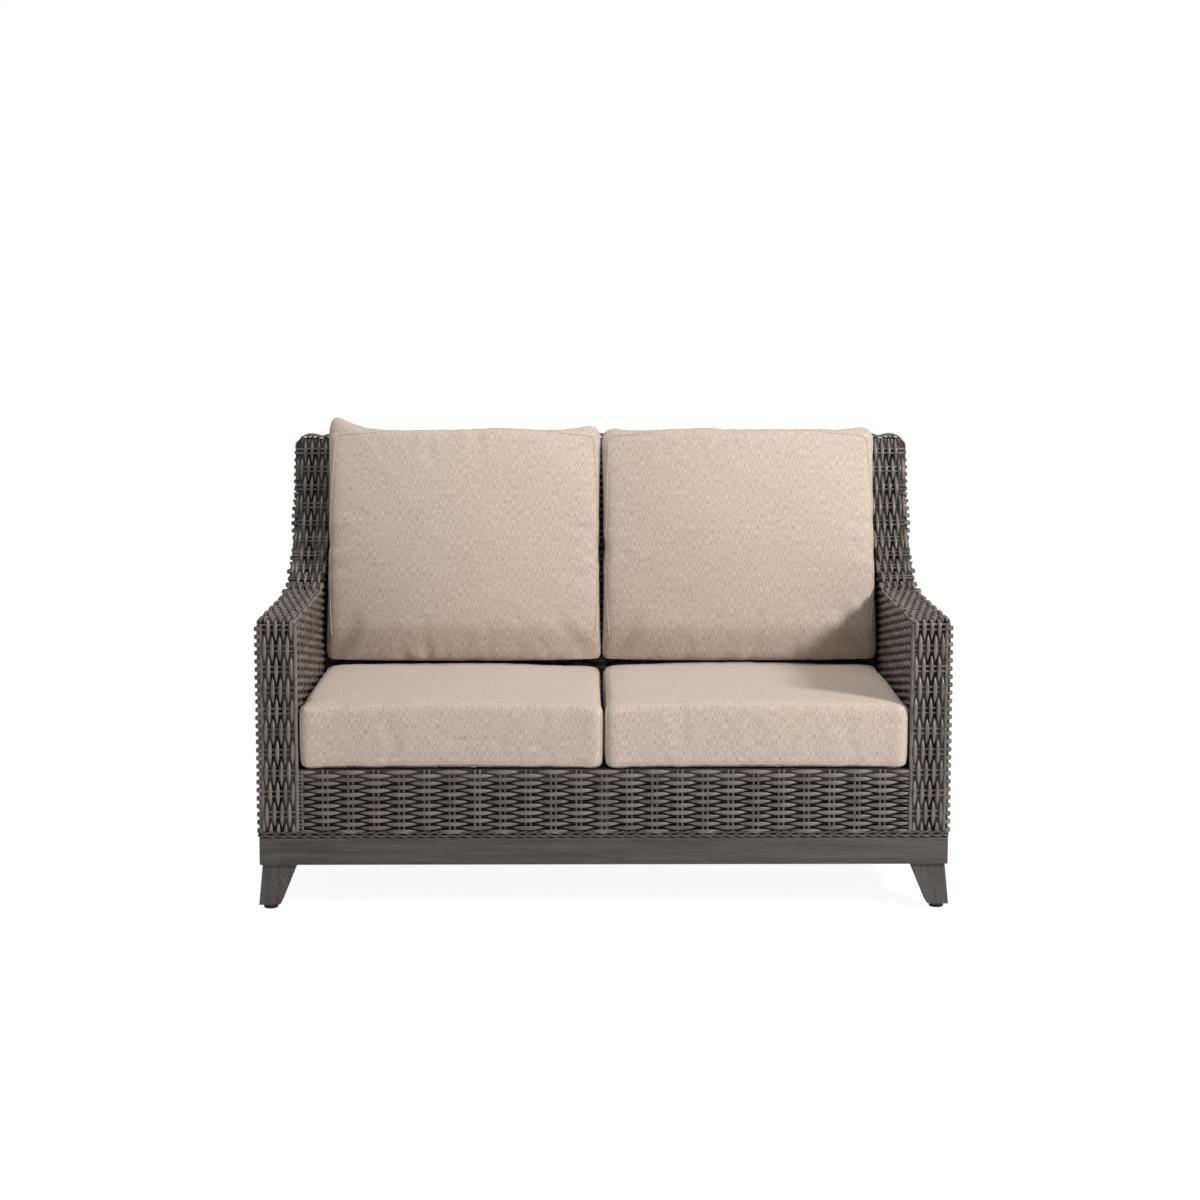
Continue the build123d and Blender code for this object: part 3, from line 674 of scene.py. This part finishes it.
bands = []
line, ways, _ = side_profile(SHADE_SHEET_INSET, SHADE_SHEET_FOOT, TOP - 0.012)
for side, sign in SIDES:
    rings = []
    near, far = sign * (INNER + 0.005), sign * (HALF - 0.010)
    for (y, z), (way_y, way_z) in zip(line[::3], ways[::3]):
        deeper = (y + way_z * SHEET, z - way_y * SHEET)
        rings.append([(near, y, z), (far, y, z), (far, *deeper), (near, *deeper)])
    bands.append(band(rings))
    rings = []
    x, deep = sign * (HALF - SHADE_SHEET_INSET), sign * (HALF - SHADE_SHEET_INSET - SHEET)
    for y in np.linspace(FRONT + SHADE_SHEET_INSET, rear_y(TOP) - SHADE_SHEET_INSET - 0.002, 90):
        foot = max(SHADE_SHEET_FOOT, RAIL_TOP + (y + SHADE_SHEET_INSET - REAR_LOW) / REAR_SLOPE)
        head = max(min(profile_z(y) - 0.009, SHADE_SHEET_HEAD), foot + 0.001)
        rings.append([(x, y, foot), (x, y, head), (deep, y, head), (deep, y, foot)])
    bands.append(band(rings))
bands.append(level_sheet(INNER + 0.004, [(FRONT + SHADE_SHEET_INSET, z) for z in (SHADE_SHEET_FOOT, DECK + 0.0002)]))
bands.append(level_sheet(INNER + 0.004, [(recline_y(z, SHADE_SHEET_INSET), z) for z in (DECK, SHADE_SHEET_HEAD)]))
bands.append(level_sheet(HALF - SHADE_SHEET_INSET, [(rear_y(z, SHADE_SHEET_INSET) - SHEET, z) for z in (SHADE_SHEET_FOOT, SHADE_SHEET_HEAD)]))
points, faces, first = [], [], 0
for corners, shape in bands:
    points += corners.tolist()
    faces += [tuple(first + i for i in face) for face in shape]
    first += len(corners)
shade_sheet_mesh = bpy.data.meshes.new("weave_lining")
shade_sheet_mesh.from_pydata(points, [], faces)
form = bmesh.new()
form.from_mesh(shade_sheet_mesh)
bmesh.ops.recalc_face_normals(form, faces=form.faces)
form.to_mesh(shade_sheet_mesh)
form.free()
# the sheets of painted shade, as one object
shade_sheet = new_object("weave_lining", shade_sheet_mesh)
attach(shade_sheet, "frame")
print("shade_sheet", len(bands), "sheets")

# %% [markdown]
# ## Crest
# The crest is a strip of strands along the top of the back that turns down over round shoulders.

# %% Crest
low, high = TOP - SHOULDER - 0.004, TOP - MID + 0.003
corners = [(-HALF + MID, low), (-HALF + MID, high), (HALF - MID, high), (HALF - MID, low)]
crest_path, crest_ways, crest_along = walk(corners, [SHOULDER - MID] * 2)
outward = points_at(-crest_ways[:, 1], 0, crest_ways[:, 0])
xs, zs = crest_path.T
front, rear = recline_y(zs) + 0.0055, rear_y(zs) - 0.004
rows = [(points_at(xs, front + (rear - front) * share, zs), outward, crest_along - crest_along[-1] / 2, k)
        for k, share in enumerate(np.linspace(0, 1, 9))]
weave("crest_rows", rows, ("crest_weave",), end_fade=0.025, seed=91)
ys = np.linspace(recline_y(TOP) + 0.001, rear_y(TOP) - 0.001, 8)
rows = [(points_at(x + half_gap, ys, high), np.array([0, 0, 1.0]), ys, k)
        for k, x in enumerate(SIDE_STAKES * np.arange(-13, 14)) for half_gap in (-0.005, 0.005)]
weave("crest_stakes", rows, **thin, seed=92)

# %% [markdown]
# ## Braid
# At the foot of the weave two thin twisted ropes lie one above the other, round the whole base. Each
# is two strands turned round each other; the second node tree makes the twist from the distance along
# its guide.

# %% Node tree for the twist, and the braid
def twist_tree():
    tree, given, spaced, (outward, along, row) = start_tree("twisted_rope", {
        "Width": 0.0042, "Thickness": 0.0032, "Offset": 0.0017, "Twist Length": 0.045, "Step": 0.004,
        "Sides": 6, "Seed": 5})
    # rows 0 and 1 are the lower rope, 2 and 3 the upper; odd rows start half a turn later
    hand = ("SUBTRACT", 1.0, ("MULTIPLY", ("GREATER_THAN", row, 1.5), 2.0))
    turns = ("ADD", ("DIVIDE", along, given["Twist Length"]), ("MULTIPLY", row, 0.5))
    place = ("vector SCALE", add(tree, "GeometryNodeInputPosition"), 14.0)
    cloud = add(tree, "ShaderNodeTexNoise", {"Vector": place, "Scale": 1.0, "Detail": 1.0})
    angle = add(tree, ("ADD", ("MULTIPLY", turns, 2 * math.pi), ("MULTIPLY", cloud, 2.2)))
    out = ("vector SCALE", outward, ("MULTIPLY", ("COSINE", angle), given["Offset"]))
    lift = ("MULTIPLY", ("MULTIPLY", ("SINE", angle), hand), given["Offset"])
    up = add(tree, "ShaderNodeCombineXYZ", {2: lift})
    moved = add(tree, "GeometryNodeSetPosition", {"Geometry": spaced, "Offset": ("vector ADD", out, up)})
    tone = add(tree, "FunctionNodeRandomValue", {"ID": row, "Seed": given["Seed"]}, 1, data_type="FLOAT")
    here = add(tree, "GeometryNodeSplineParameter", out="Length")
    # how far the twist turns this strand outwards; the material paints shade on it where it turns in
    proud = ("ADD", 0.42, ("MULTIPLY", ("COSINE", angle), 0.34))
    facts = {"strand_tone": tone, "grain_along": here, "lens_face": proud}
    return finish_tree(tree, given, moved, outward, facts)


INSET, TWIST, CORNER_RADIUS, SEAM_GAP = 0.0022, 0.045, 0.006, 0.0001
LOWER_ROPE, UPPER_ROPE = RAIL_TOP + 0.0037, RAIL_TOP + 0.0102
x, low_y, high_y = HALF - INSET, FRONT + INSET, REAR_LOW - INSET
corners = [(SEAM_GAP, high_y), (x, high_y), (x, low_y), (-x, low_y), (-x, high_y), (-SEAM_GAP, high_y)]
loop, ways, along = walk(corners, [CORNER_RADIUS] * 4)
outward = points_at(-ways[:, 1], ways[:, 0], 0)
turns = round(along[-1] / TWIST)
lines = [(points_at(loop[:, 0], loop[:, 1], z), outward, along, row)
         for row, z in enumerate((LOWER_ROPE, LOWER_ROPE, UPPER_ROPE, UPPER_ROPE))]
braid = grow("base_braid_ropes", lines, twist_tree(), twist_length=along[-1] / turns, material=braid_resin)
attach(braid, "frame")
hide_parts("base_braid")
print("braid", turns, "turns")

# %% [markdown]
# ## Rails, legs and tubes
# The rails and legs are aluminium with a powder coat that is printed and brushed to look like weathered
# wood. The coat is satin, with long fine streaks along the piece. The tubes inside wear a plain dark
# coat with the fine pebble of sprayed powder.

# %% Wood-grain coat, one for each direction of the grain
def wood_grain_coat(axis):
    """Printed and brushed powder coat: pores 1 mm wide and 30 to 60 mm long, satin."""
    material, tree, shader = new_material(f"wood_grain_powder_coat_along_{axis}")
    place = add(tree, "ShaderNodeTexCoord", out="Object")
    fine_scale = [18.0 if letter == axis else 620.0 for letter in "xyz"]
    broad_scale = [4.0 if letter == axis else 95.0 for letter in "xyz"]
    fine = add(tree, "ShaderNodeTexNoise", {
        "Vector": ("vector MULTIPLY", place, fine_scale), "Scale": 1.0, "Detail": 4.0, "Roughness": 0.62})
    broad = add(tree, "ShaderNodeTexNoise", {
        "Vector": ("vector MULTIPLY", place, broad_scale), "Scale": 1.0, "Detail": 3.0})
    tone = ("ADD", ("MULTIPLY", fine, 0.6), ("MULTIPLY", broad, 0.5))
    colour = add(tree, "ShaderNodeValToRGB", {0: tone}, stops=((0.38, "#332d29"), (0.72, "#56504b")))
    bump = add(tree, "ShaderNodeBump", {"Height": fine, "Strength": 0.3, "Distance": 0.0004})
    roughness = add(tree, "ShaderNodeMapRange", {0: fine, 1: 0.3, 2: 0.7, 3: 0.62, 4: 0.48})
    connect(tree, shader, {"Base Color": colour, "Normal": bump, "Roughness": roughness, "IOR": 1.5})
    return material


def simple_finish(name, colour, rough, metallic=0.0, grain=900.0):
    """A finish of one colour with a fine surface: powder pebble, moulding texture or zinc spangle."""
    material, tree, shader = new_material(name)
    place = add(tree, "ShaderNodeTexCoord", out="Object")
    speckle = add(tree, "ShaderNodeTexNoise", {"Vector": place, "Scale": grain, "Detail": 2.0})
    paler = [c * 1.35 for c in linear(colour)[:3]] + [1]
    shade = add(tree, "ShaderNodeMix", {0: speckle, 6: linear(colour), 7: paler}, 2, data_type="RGBA")
    bump = add(tree, "ShaderNodeBump", {"Height": speckle, "Strength": 0.3, "Distance": 0.0001})
    roughness = add(tree, "ShaderNodeMapRange", {0: speckle, 3: rough - 0.05, 4: rough + 0.07})
    looks = {"Base Color": shade, "Normal": bump, "Roughness": roughness, "Metallic": metallic}
    connect(tree, shader, looks if metallic else {**looks, "IOR": 1.5})
    return material


coats = {axis: wood_grain_coat(axis) for axis in "xyz"}
tube_coat = simple_finish("dark_powder_coat", "#241f1c", 0.5)
glide_nylon = simple_finish("moulded_nylon", "#16120f", 0.5, grain=500.0)
zinc_steel = simple_finish("zinc_plated_steel", "#a9abad", 0.35, metallic=1.0, grain=300.0)
# painted shade: a near-black sheet stands for the shade inside the hollow weave
shade_sheet.data.materials.append(simple_finish("black_lining_cloth", "#0a0908", 0.9, grain=700.0))
print("coats", [coat.name for coat in (*coats.values(), tube_coat, glide_nylon, zinc_steel)])


# %% Give every shown node of the model its finish
def finish_for(name):
    if name.startswith("base_rail"):
        return coats["x" if name.endswith(("front", "back")) else "y"]
    if name.startswith(("leg_front", "leg_back")):
        return coats["z"]
    if name.startswith("glide"):
        return glide_nylon
    return zinc_steel if name == "leg_bolts" else tube_coat


for name, node in nodes.items():
    node.data.materials.clear()
    node.data.materials.append(finish_for(name))
print("finishes given to", len(nodes), "nodes")

# %% [markdown]
# ## Cushions
# Each cushion is a soft block of fibre and foam in a sewn cover. The cover is a heathered linen-look
# outdoor cloth: threads of several pale browns, with short thick slubs that run up and down. The seat
# cushion's top runs over its front in one piece, and plain seams join it to the sides. The back
# cushion is softer, crowned in front, with small ears at its corners. The shape is an even copy of the
# model's solid. A short cloth simulation, in which air swells a slightly smaller copy, only gives it
# fine folds, added at a fraction and capped, so each cushion stays in its place. The ears and tucks
# are listed one by one, since a simulation wouldn't put them where the photograph has them.

# %% Cushion cloth
def cushion_cloth(name):
    """Woven polyester: soft, rough, a faint sheen; threads drawn 1.1 mm wide so that they show."""
    material, tree, shader = new_material(name)
    place = add(tree, "ShaderNodeUVMap", uv_map="cloth")
    warp, weft, slub = [
        add(tree, "ShaderNodeTexNoise", {"Vector": ("vector MULTIPLY", place, scale), "Scale": 1.0,
                                         "Detail": detail, "Roughness": rough})
        for scale, detail, rough in (((1050.0, 85.0, 1.0), 2.0, 0.6), ((130.0, 900.0, 1.0), 2.0, 0.6),
                                     ((800.0, 62.0, 1.0), 1.0, 0.5))]
    cloud = add(tree, "ShaderNodeTexNoise", {"Vector": place, "Scale": 9.0, "Detail": 2.0})
    slub_edge = add(tree, "ShaderNodeMapRange", {0: slub, 1: 0.55, 2: 0.63})
    tone = add(tree, ("ADD", ("MULTIPLY", warp, 0.7), ("MULTIPLY", weft, 0.3)))
    threads = add(tree, "ShaderNodeValToRGB", {0: tone}, stops=((0.38, "#a08d7d"), (0.62, "#d0c2b7")))
    slubbed = add(tree, "ShaderNodeMix",
                  {0: ("MULTIPLY", slub_edge, 0.3), 6: threads, 7: linear("#ded4cc")}, 2, data_type="RGBA")
    shade = add(tree, "ShaderNodeMix",
                {0: ("MULTIPLY", cloud, 0.12), 6: slubbed, 7: linear("#ae9b8b")}, 2, data_type="RGBA")
    height = ("ADD", tone, ("MULTIPLY", slub_edge, 0.3))
    bump = add(tree, "ShaderNodeBump", {"Height": height, "Strength": 0.5, "Distance": 0.0009})
    connect(tree, shader, {"Base Color": shade, "Normal": bump, "Roughness": 0.92, "Sheen Weight": 0.12,
                           "Specular IOR Level": 0.25})
    return material


cloth = cushion_cloth("heathered_polyester_cloth")
print("cloth", cloth.name)


# %% Read, move and smooth the points of a cover
def values_of(items, name, width=1, kind=np.float32):
    """One property of every item of a mesh, as rows of this width."""
    values = np.empty(len(items) * width, kind)
    items.foreach_get(name, values)
    return values.reshape(-1, width)


def points_of(mesh):
    return values_of(mesh.vertices, "co", 3).astype(float)


def put_points(obj, co):
    obj.data.vertices.foreach_set("co", co.astype(np.float32).ravel())
    obj.data.update()


def ease(low, high, value):
    t = np.clip((value - low) / (high - low), 0, 1)
    return t * t * (3 - 2 * t)


def settled(obj, field, rounds):
    """The field after each point has taken the mean of itself and its neighbours, so many times."""
    a, b = values_of(obj.data.edges, "vertices", 2, int).T
    size = len(field)
    count = np.bincount(a, minlength=size) + np.bincount(b, minlength=size)
    for _ in range(rounds):
        near = [np.bincount(a, field[b, i], size) + np.bincount(b, field[a, i], size) for i in range(3)]
        field = 0.5 * field + 0.5 * np.stack(near, axis=1) / count[:, None]
    return field


def soft_noise(points, scale, seed):
    """Smooth noise in about -1 to 1 from a few seeded waves; the scale is in radians a metre."""
    source = np.random.default_rng(seed)
    total = np.zeros(len(points))
    for _ in range(9):
        way = source.normal(size=3)
        way *= source.uniform(0.6, 1.4) * scale / np.linalg.norm(way)
        total += np.sin(points @ way + source.uniform(0, 2 * math.pi))
    return total / 4.5


# %% An even copy of the solid, and the folds that a cloth simulation finds in it
VOXEL, DOUBLE = 0.0075, 0.00005
SHRINK, PRESSURE, FOLD_CAP, FRAMES = 0.97, 4.0, 0.012, 20


def even_copy(name, node):
    """A watertight copy of the model's solid with evenly spaced points."""
    made = new_object(name, nodes[node].data.copy())
    made.data.materials.clear()
    form = bmesh.new()
    form.from_mesh(made.data)
    bmesh.ops.remove_doubles(form, verts=form.verts, dist=DOUBLE)
    form.to_mesh(made.data)
    form.free()
    remesh = made.modifiers.new("even", "REMESH")
    remesh.mode = "VOXEL"
    remesh.voxel_size = VOXEL
    even = as_mesh(made)
    made.modifiers.clear()
    made.data = even
    put_points(made, settled(made, points_of(even), 2))
    return made


def folds(obj):
    """Fine folds from a short cloth simulation of a smaller copy; the broad swelling is taken out."""
    rest = points_of(obj.data)
    middle = (rest.min(0) + rest.max(0)) / 2
    small = middle + (rest - middle) * SHRINK
    put_points(obj, small)
    cover = obj.modifiers.new("cover", "CLOTH")
    made_of = {"quality": 5, "mass": 0.3, "tension_stiffness": 15, "compression_stiffness": 15,
               "bending_stiffness": 0.5, "use_pressure": True, "uniform_pressure_force": PRESSURE}
    for name, value in made_of.items():
        setattr(cover.settings, name, value)
    cover.settings.effector_weights.gravity = 0
    cover.point_cache.frame_start = 1
    cover.point_cache.frame_end = FRAMES
    for number in range(1, FRAMES + 1):
        bpy.context.scene.frame_set(number)
    swollen = as_mesh(obj)
    moved = points_of(swollen) - small
    obj.modifiers.clear()
    bpy.context.scene.frame_set(1)
    bpy.data.meshes.remove(swollen)
    put_points(obj, rest)
    fine = moved - settled(obj, moved, 60)
    length = np.linalg.norm(fine, axis=1, keepdims=True)
    print(obj.name, "folds up to", round(float(length.max()) * 1000, 1), "mm")
    return fine * np.minimum(1, FOLD_CAP / np.maximum(length, 1e-9))


def cloth_map(obj, across, up, front):
    """Lays the cloth's own map over the form, in metres, from the direction each face looks in."""
    axes = np.array([across, up, front], float)
    mesh = obj.data
    layer = mesh.uv_layers.new(name="cloth")
    corners = values_of(mesh.loops, "vertex_index", kind=int)[:, 0]
    counts = values_of(mesh.polygons, "loop_total", kind=int)[:, 0]
    looks = np.abs(values_of(mesh.polygons, "normal", 3) @ axes.T)
    main = np.repeat(np.argmax(looks, axis=1), counts)
    a, u, f = (points_of(mesh)[corners] @ axes.T).T
    uv = np.stack([np.where(main == 0, f, a), np.where(main == 1, f, u)], axis=1)
    layer.data.foreach_set("uv", uv.astype(np.float32).ravel())


def finish_cushion(obj, body):
    smooth = obj.modifiers.new("smooth", "SUBSURF")
    smooth.levels = smooth.render_levels = 1
    final = as_mesh(obj)
    obj.modifiers.clear()
    obj.data = final
    obj.data.materials.clear()
    obj.data.materials.append(cloth)
    obj.data.polygons.foreach_set("use_smooth", np.ones(len(obj.data.polygons), bool))
    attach(obj, body)
    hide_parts(body)
    co = points_of(obj.data)
    print(obj.name, "box", co.min(0).round(4), co.max(0).round(4), "triangles", 2 * len(obj.data.polygons))


# %% [markdown]
# A seam is two edges of cloth sewn together and turned in. It shows as a low ridge with a shadow on
# either side, so it is made as a thin strand that is pressed halfway into the cover. Its path is drawn
# near the cover, and each of its points then drops onto the nearest place on it.

# %% Seams
seam_cloth = cushion_cloth("seam_edge_cloth")
SEAM_WIDTH, SEAM_THICK, SEAM_LIFT = 0.0030, 0.0022, 0.0002
ACROSS, DEPTH, UP = (1, 0, 0), (0, 1, 0), (0, 0, 1)


def seam(name, obj, body, paths):
    mesh = obj.data
    tree = BVHTree.FromPolygons([v.co for v in mesh.vertices], [tuple(p.vertices) for p in mesh.polygons])
    lines = []
    for k, path in enumerate(paths):
        hits = [tree.find_nearest(Vector(point)) for point in path]
        outward = np.array([normal for _, normal, _, _ in hits])
        places = np.array([place + normal * SEAM_LIFT for place, normal, _, _ in hits])
        along = np.append(0, np.cumsum(np.linalg.norm(np.diff(places, axis=0), axis=1)))
        lines.append((places, outward, along, k))
    made = grow(name, lines, weave_tree, width=SEAM_WIDTH, thickness=SEAM_THICK, lift=0.0, wander=0.0002,
                sides=6, step=0.005, material=seam_cloth)
    cloth_map(made, ACROSS, UP, DEPTH)
    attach(made, body)


def between_arm_and_middle(co, sign):
    """Keeps a cushion's points between its neighbour and the arm."""
    co[:, 0] = np.clip(co[:, 0], *sorted((sign * 0.0009, sign * (INNER - 0.0020))))
    return co


# %% Seat cushions
SEAT_BASE = DECK + 0.0003
SEAT_FOLDS, SQUARE_REACH, SQUARE_PULL = 0.22, 0.055, 0.0035
for side, sign in SIDES:
    node = f"seat_cushion_{side}"
    low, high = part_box(node)
    pad = even_copy(f"seat_pad_{side}", node)
    co = points_of(pad.data) + SEAT_FOLDS * folds(pad)
    # the front corners are fuller and squarer than the rest
    for x, way in ((low.x, -1), (high.x, 1)):
        near = 1 - ease(0, SQUARE_REACH, np.hypot(co[:, 0] - x, co[:, 1] - low.y))
        co += near[:, None] * np.array([SQUARE_PULL * way, -SQUARE_PULL, 0])
    co[:, 2] += 0.0022 * soft_noise(co, 18, 3 + sign) * ease(0.33, 0.42, co[:, 2])
    co[:, 1] += 0.0014 * soft_noise(co, 30, 9 + sign) * (1 - ease(low.y, low.y + 0.05, co[:, 1]))
    co[:, 2] = np.maximum(co[:, 2], SEAT_BASE)
    put_points(pad, between_arm_and_middle(co, sign))
    cloth_map(pad, ACROSS, UP, DEPTH)
    finish_cushion(pad, node)
    y, foot = low.y + 0.006, low.z + 0.006
    corners = [(y, foot), (y, high.z - 0.022), (high.y - 0.02, high.z - 0.016)]
    line, _, _ = walk(corners, [0.022], 0.006)
    paths = [points_at(x, line[:, 0], line[:, 1]) for x in (low.x + 0.004, high.x - 0.004)]
    paths.append(points_at(np.linspace(low.x + 0.006, high.x - 0.006, 100), low.y + 0.002, foot))
    seam(f"seat_seams_{side}", pad, node, paths)

# %% Back cushions
up_way = np.array([0, math.sin(LEAN), math.cos(LEAN)])
foot = np.array([0, recline_y(DECK), DECK])
BACK_FOLDS, ROLL, ROLL_REACH, OFF_PANEL = 0.33, 0.021, 0.080, 0.0022
# ears: corner across and up, then how far it is pulled out and up, in metres
low_ears = ((-1, -1, 0.003, 0.0), (1, -1, 0.003, 0.0))
ears = {
    "left": ((-1, 1, 0.004, 0.042), (1, 1, 0.005, 0.018), *low_ears),
    "right": ((-1, 1, 0.004, 0.012), (1, 1, 0.006, 0.013), *low_ears),
}
# tucks: across from the middle, up from the foot of the cushion, turn in degrees, length, width, depth
tucks = {
    "left": (
        (-0.080, 0.008, 90, 0.026, 0.013, 0.006), (-0.262, 0.055, 55, 0.050, 0.018, 0.004),
        (0.245, 0.045, 130, 0.055, 0.018, 0.004), (0.270, 0.190, 5, 0.045, 0.012, 0.0016),
        (0.268, 0.300, -8, 0.045, 0.012, 0.0016), (-0.272, 0.215, 12, 0.045, 0.012, 0.0014)),
    "right": (
        (-0.258, 0.050, 60, 0.050, 0.018, 0.004), (0.250, 0.070, 120, 0.060, 0.018, 0.005),
        (0.120, 0.008, 92, 0.025, 0.013, 0.004), (-0.270, 0.260, 8, 0.045, 0.012, 0.0014),
        (0.272, 0.310, -12, 0.045, 0.012, 0.0014)),
}


def pull_ears(co, side, middle_x, half, rise, crown, low_rise, front):
    """Draws the four corners out and up; the pull fades over a hand's width."""
    for across, up, out, lift in ears[side]:
        away = np.hypot(co[:, 0] - middle_x - across * half, rise - (crown if up > 0 else low_rise))
        near = 1 - 0.55 * ease(0, 0.14, away) - 0.45 * ease(0, 0.055, away)
        co += near[:, None] * (np.array([across * out, 0, 0]) + lift * up_way)
        co += (near * 0.3 * (0.075 - front))[:, None] * facing


def press_tucks(co, side, middle_x, height, front):
    """Presses each tuck in as a soft groove with a low welt on either side."""
    for x, up, turn, length, width, depth in tucks[side]:
        da, du = co[:, 0] - middle_x - x, height - up
        c, s = math.cos(math.radians(turn)), math.sin(math.radians(turn))
        way, side_way = da * c + du * s, -da * s + du * c
        welt = np.exp(-(((np.abs(side_way) - 1.8 * width) / width) ** 2))
        dent = np.exp(-((side_way / width) ** 2)) - 0.35 * welt
        co -= (depth * dent * np.exp(-((way / length) ** 4)) * ease(0.03, 0.08, front))[:, None] * facing


for side, sign in SIDES:
    node = f"back_cushion_{side}"
    low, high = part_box(node)
    pad = even_copy(f"back_pad_{side}", node)
    co = points_of(pad.data) + BACK_FOLDS * folds(pad)
    middle_x, half = (low.x + high.x) / 2, (high.x - low.x) / 2
    rise, front = (co - foot) @ up_way, (co - foot) @ facing
    crown, low_rise = rise.max(), float(rise[co[:, 2] < low.z + 0.004].min())
    pull_ears(co, side, middle_x, half, rise, crown, low_rise, front)
    # the front rolls under at the foot, swells unevenly, and the top edge is slightly wavy
    roll = ROLL * (1 - ease(0, ROLL_REACH, rise - low_rise)) * ease(0.04, 0.11, front)
    co -= roll[:, None] * facing
    co += (0.0024 * soft_noise(co, 20, 13 + sign) * ease(0.05, 0.12, front))[:, None] * facing
    wavy = 0.0035 + 0.0022 * soft_noise(co, 34, 23 + sign)
    co += (wavy * ease(crown - 0.06, crown, rise))[:, None] * up_way
    press_tucks(co, side, middle_x, rise - low_rise, front)
    co[:, 2] = np.maximum(co[:, 2], low.z)
    co += np.maximum(0, OFF_PANEL - (co - foot) @ facing)[:, None] * facing
    put_points(pad, between_arm_and_middle(co, sign))
    cloth_map(pad, ACROSS, up_way, facing)
    finish_cushion(pad, node)
    # the front panel's seam runs down both sides and over the top, about 10 mm in from the edge
    left, right, base, head = low.x + 0.008, high.x - 0.008, low_rise + 0.05, crown - 0.010
    line, _, _ = walk([(left, base), (left, head), (right, head), (right, base)], [0.016, 0.016], 0.006)
    seam_path = foot + line[:, :1] * np.array(ACROSS) + line[:, 1:] * up_way + 0.118 * facing
    seam(f"back_seams_{side}", pad, node, [seam_path])
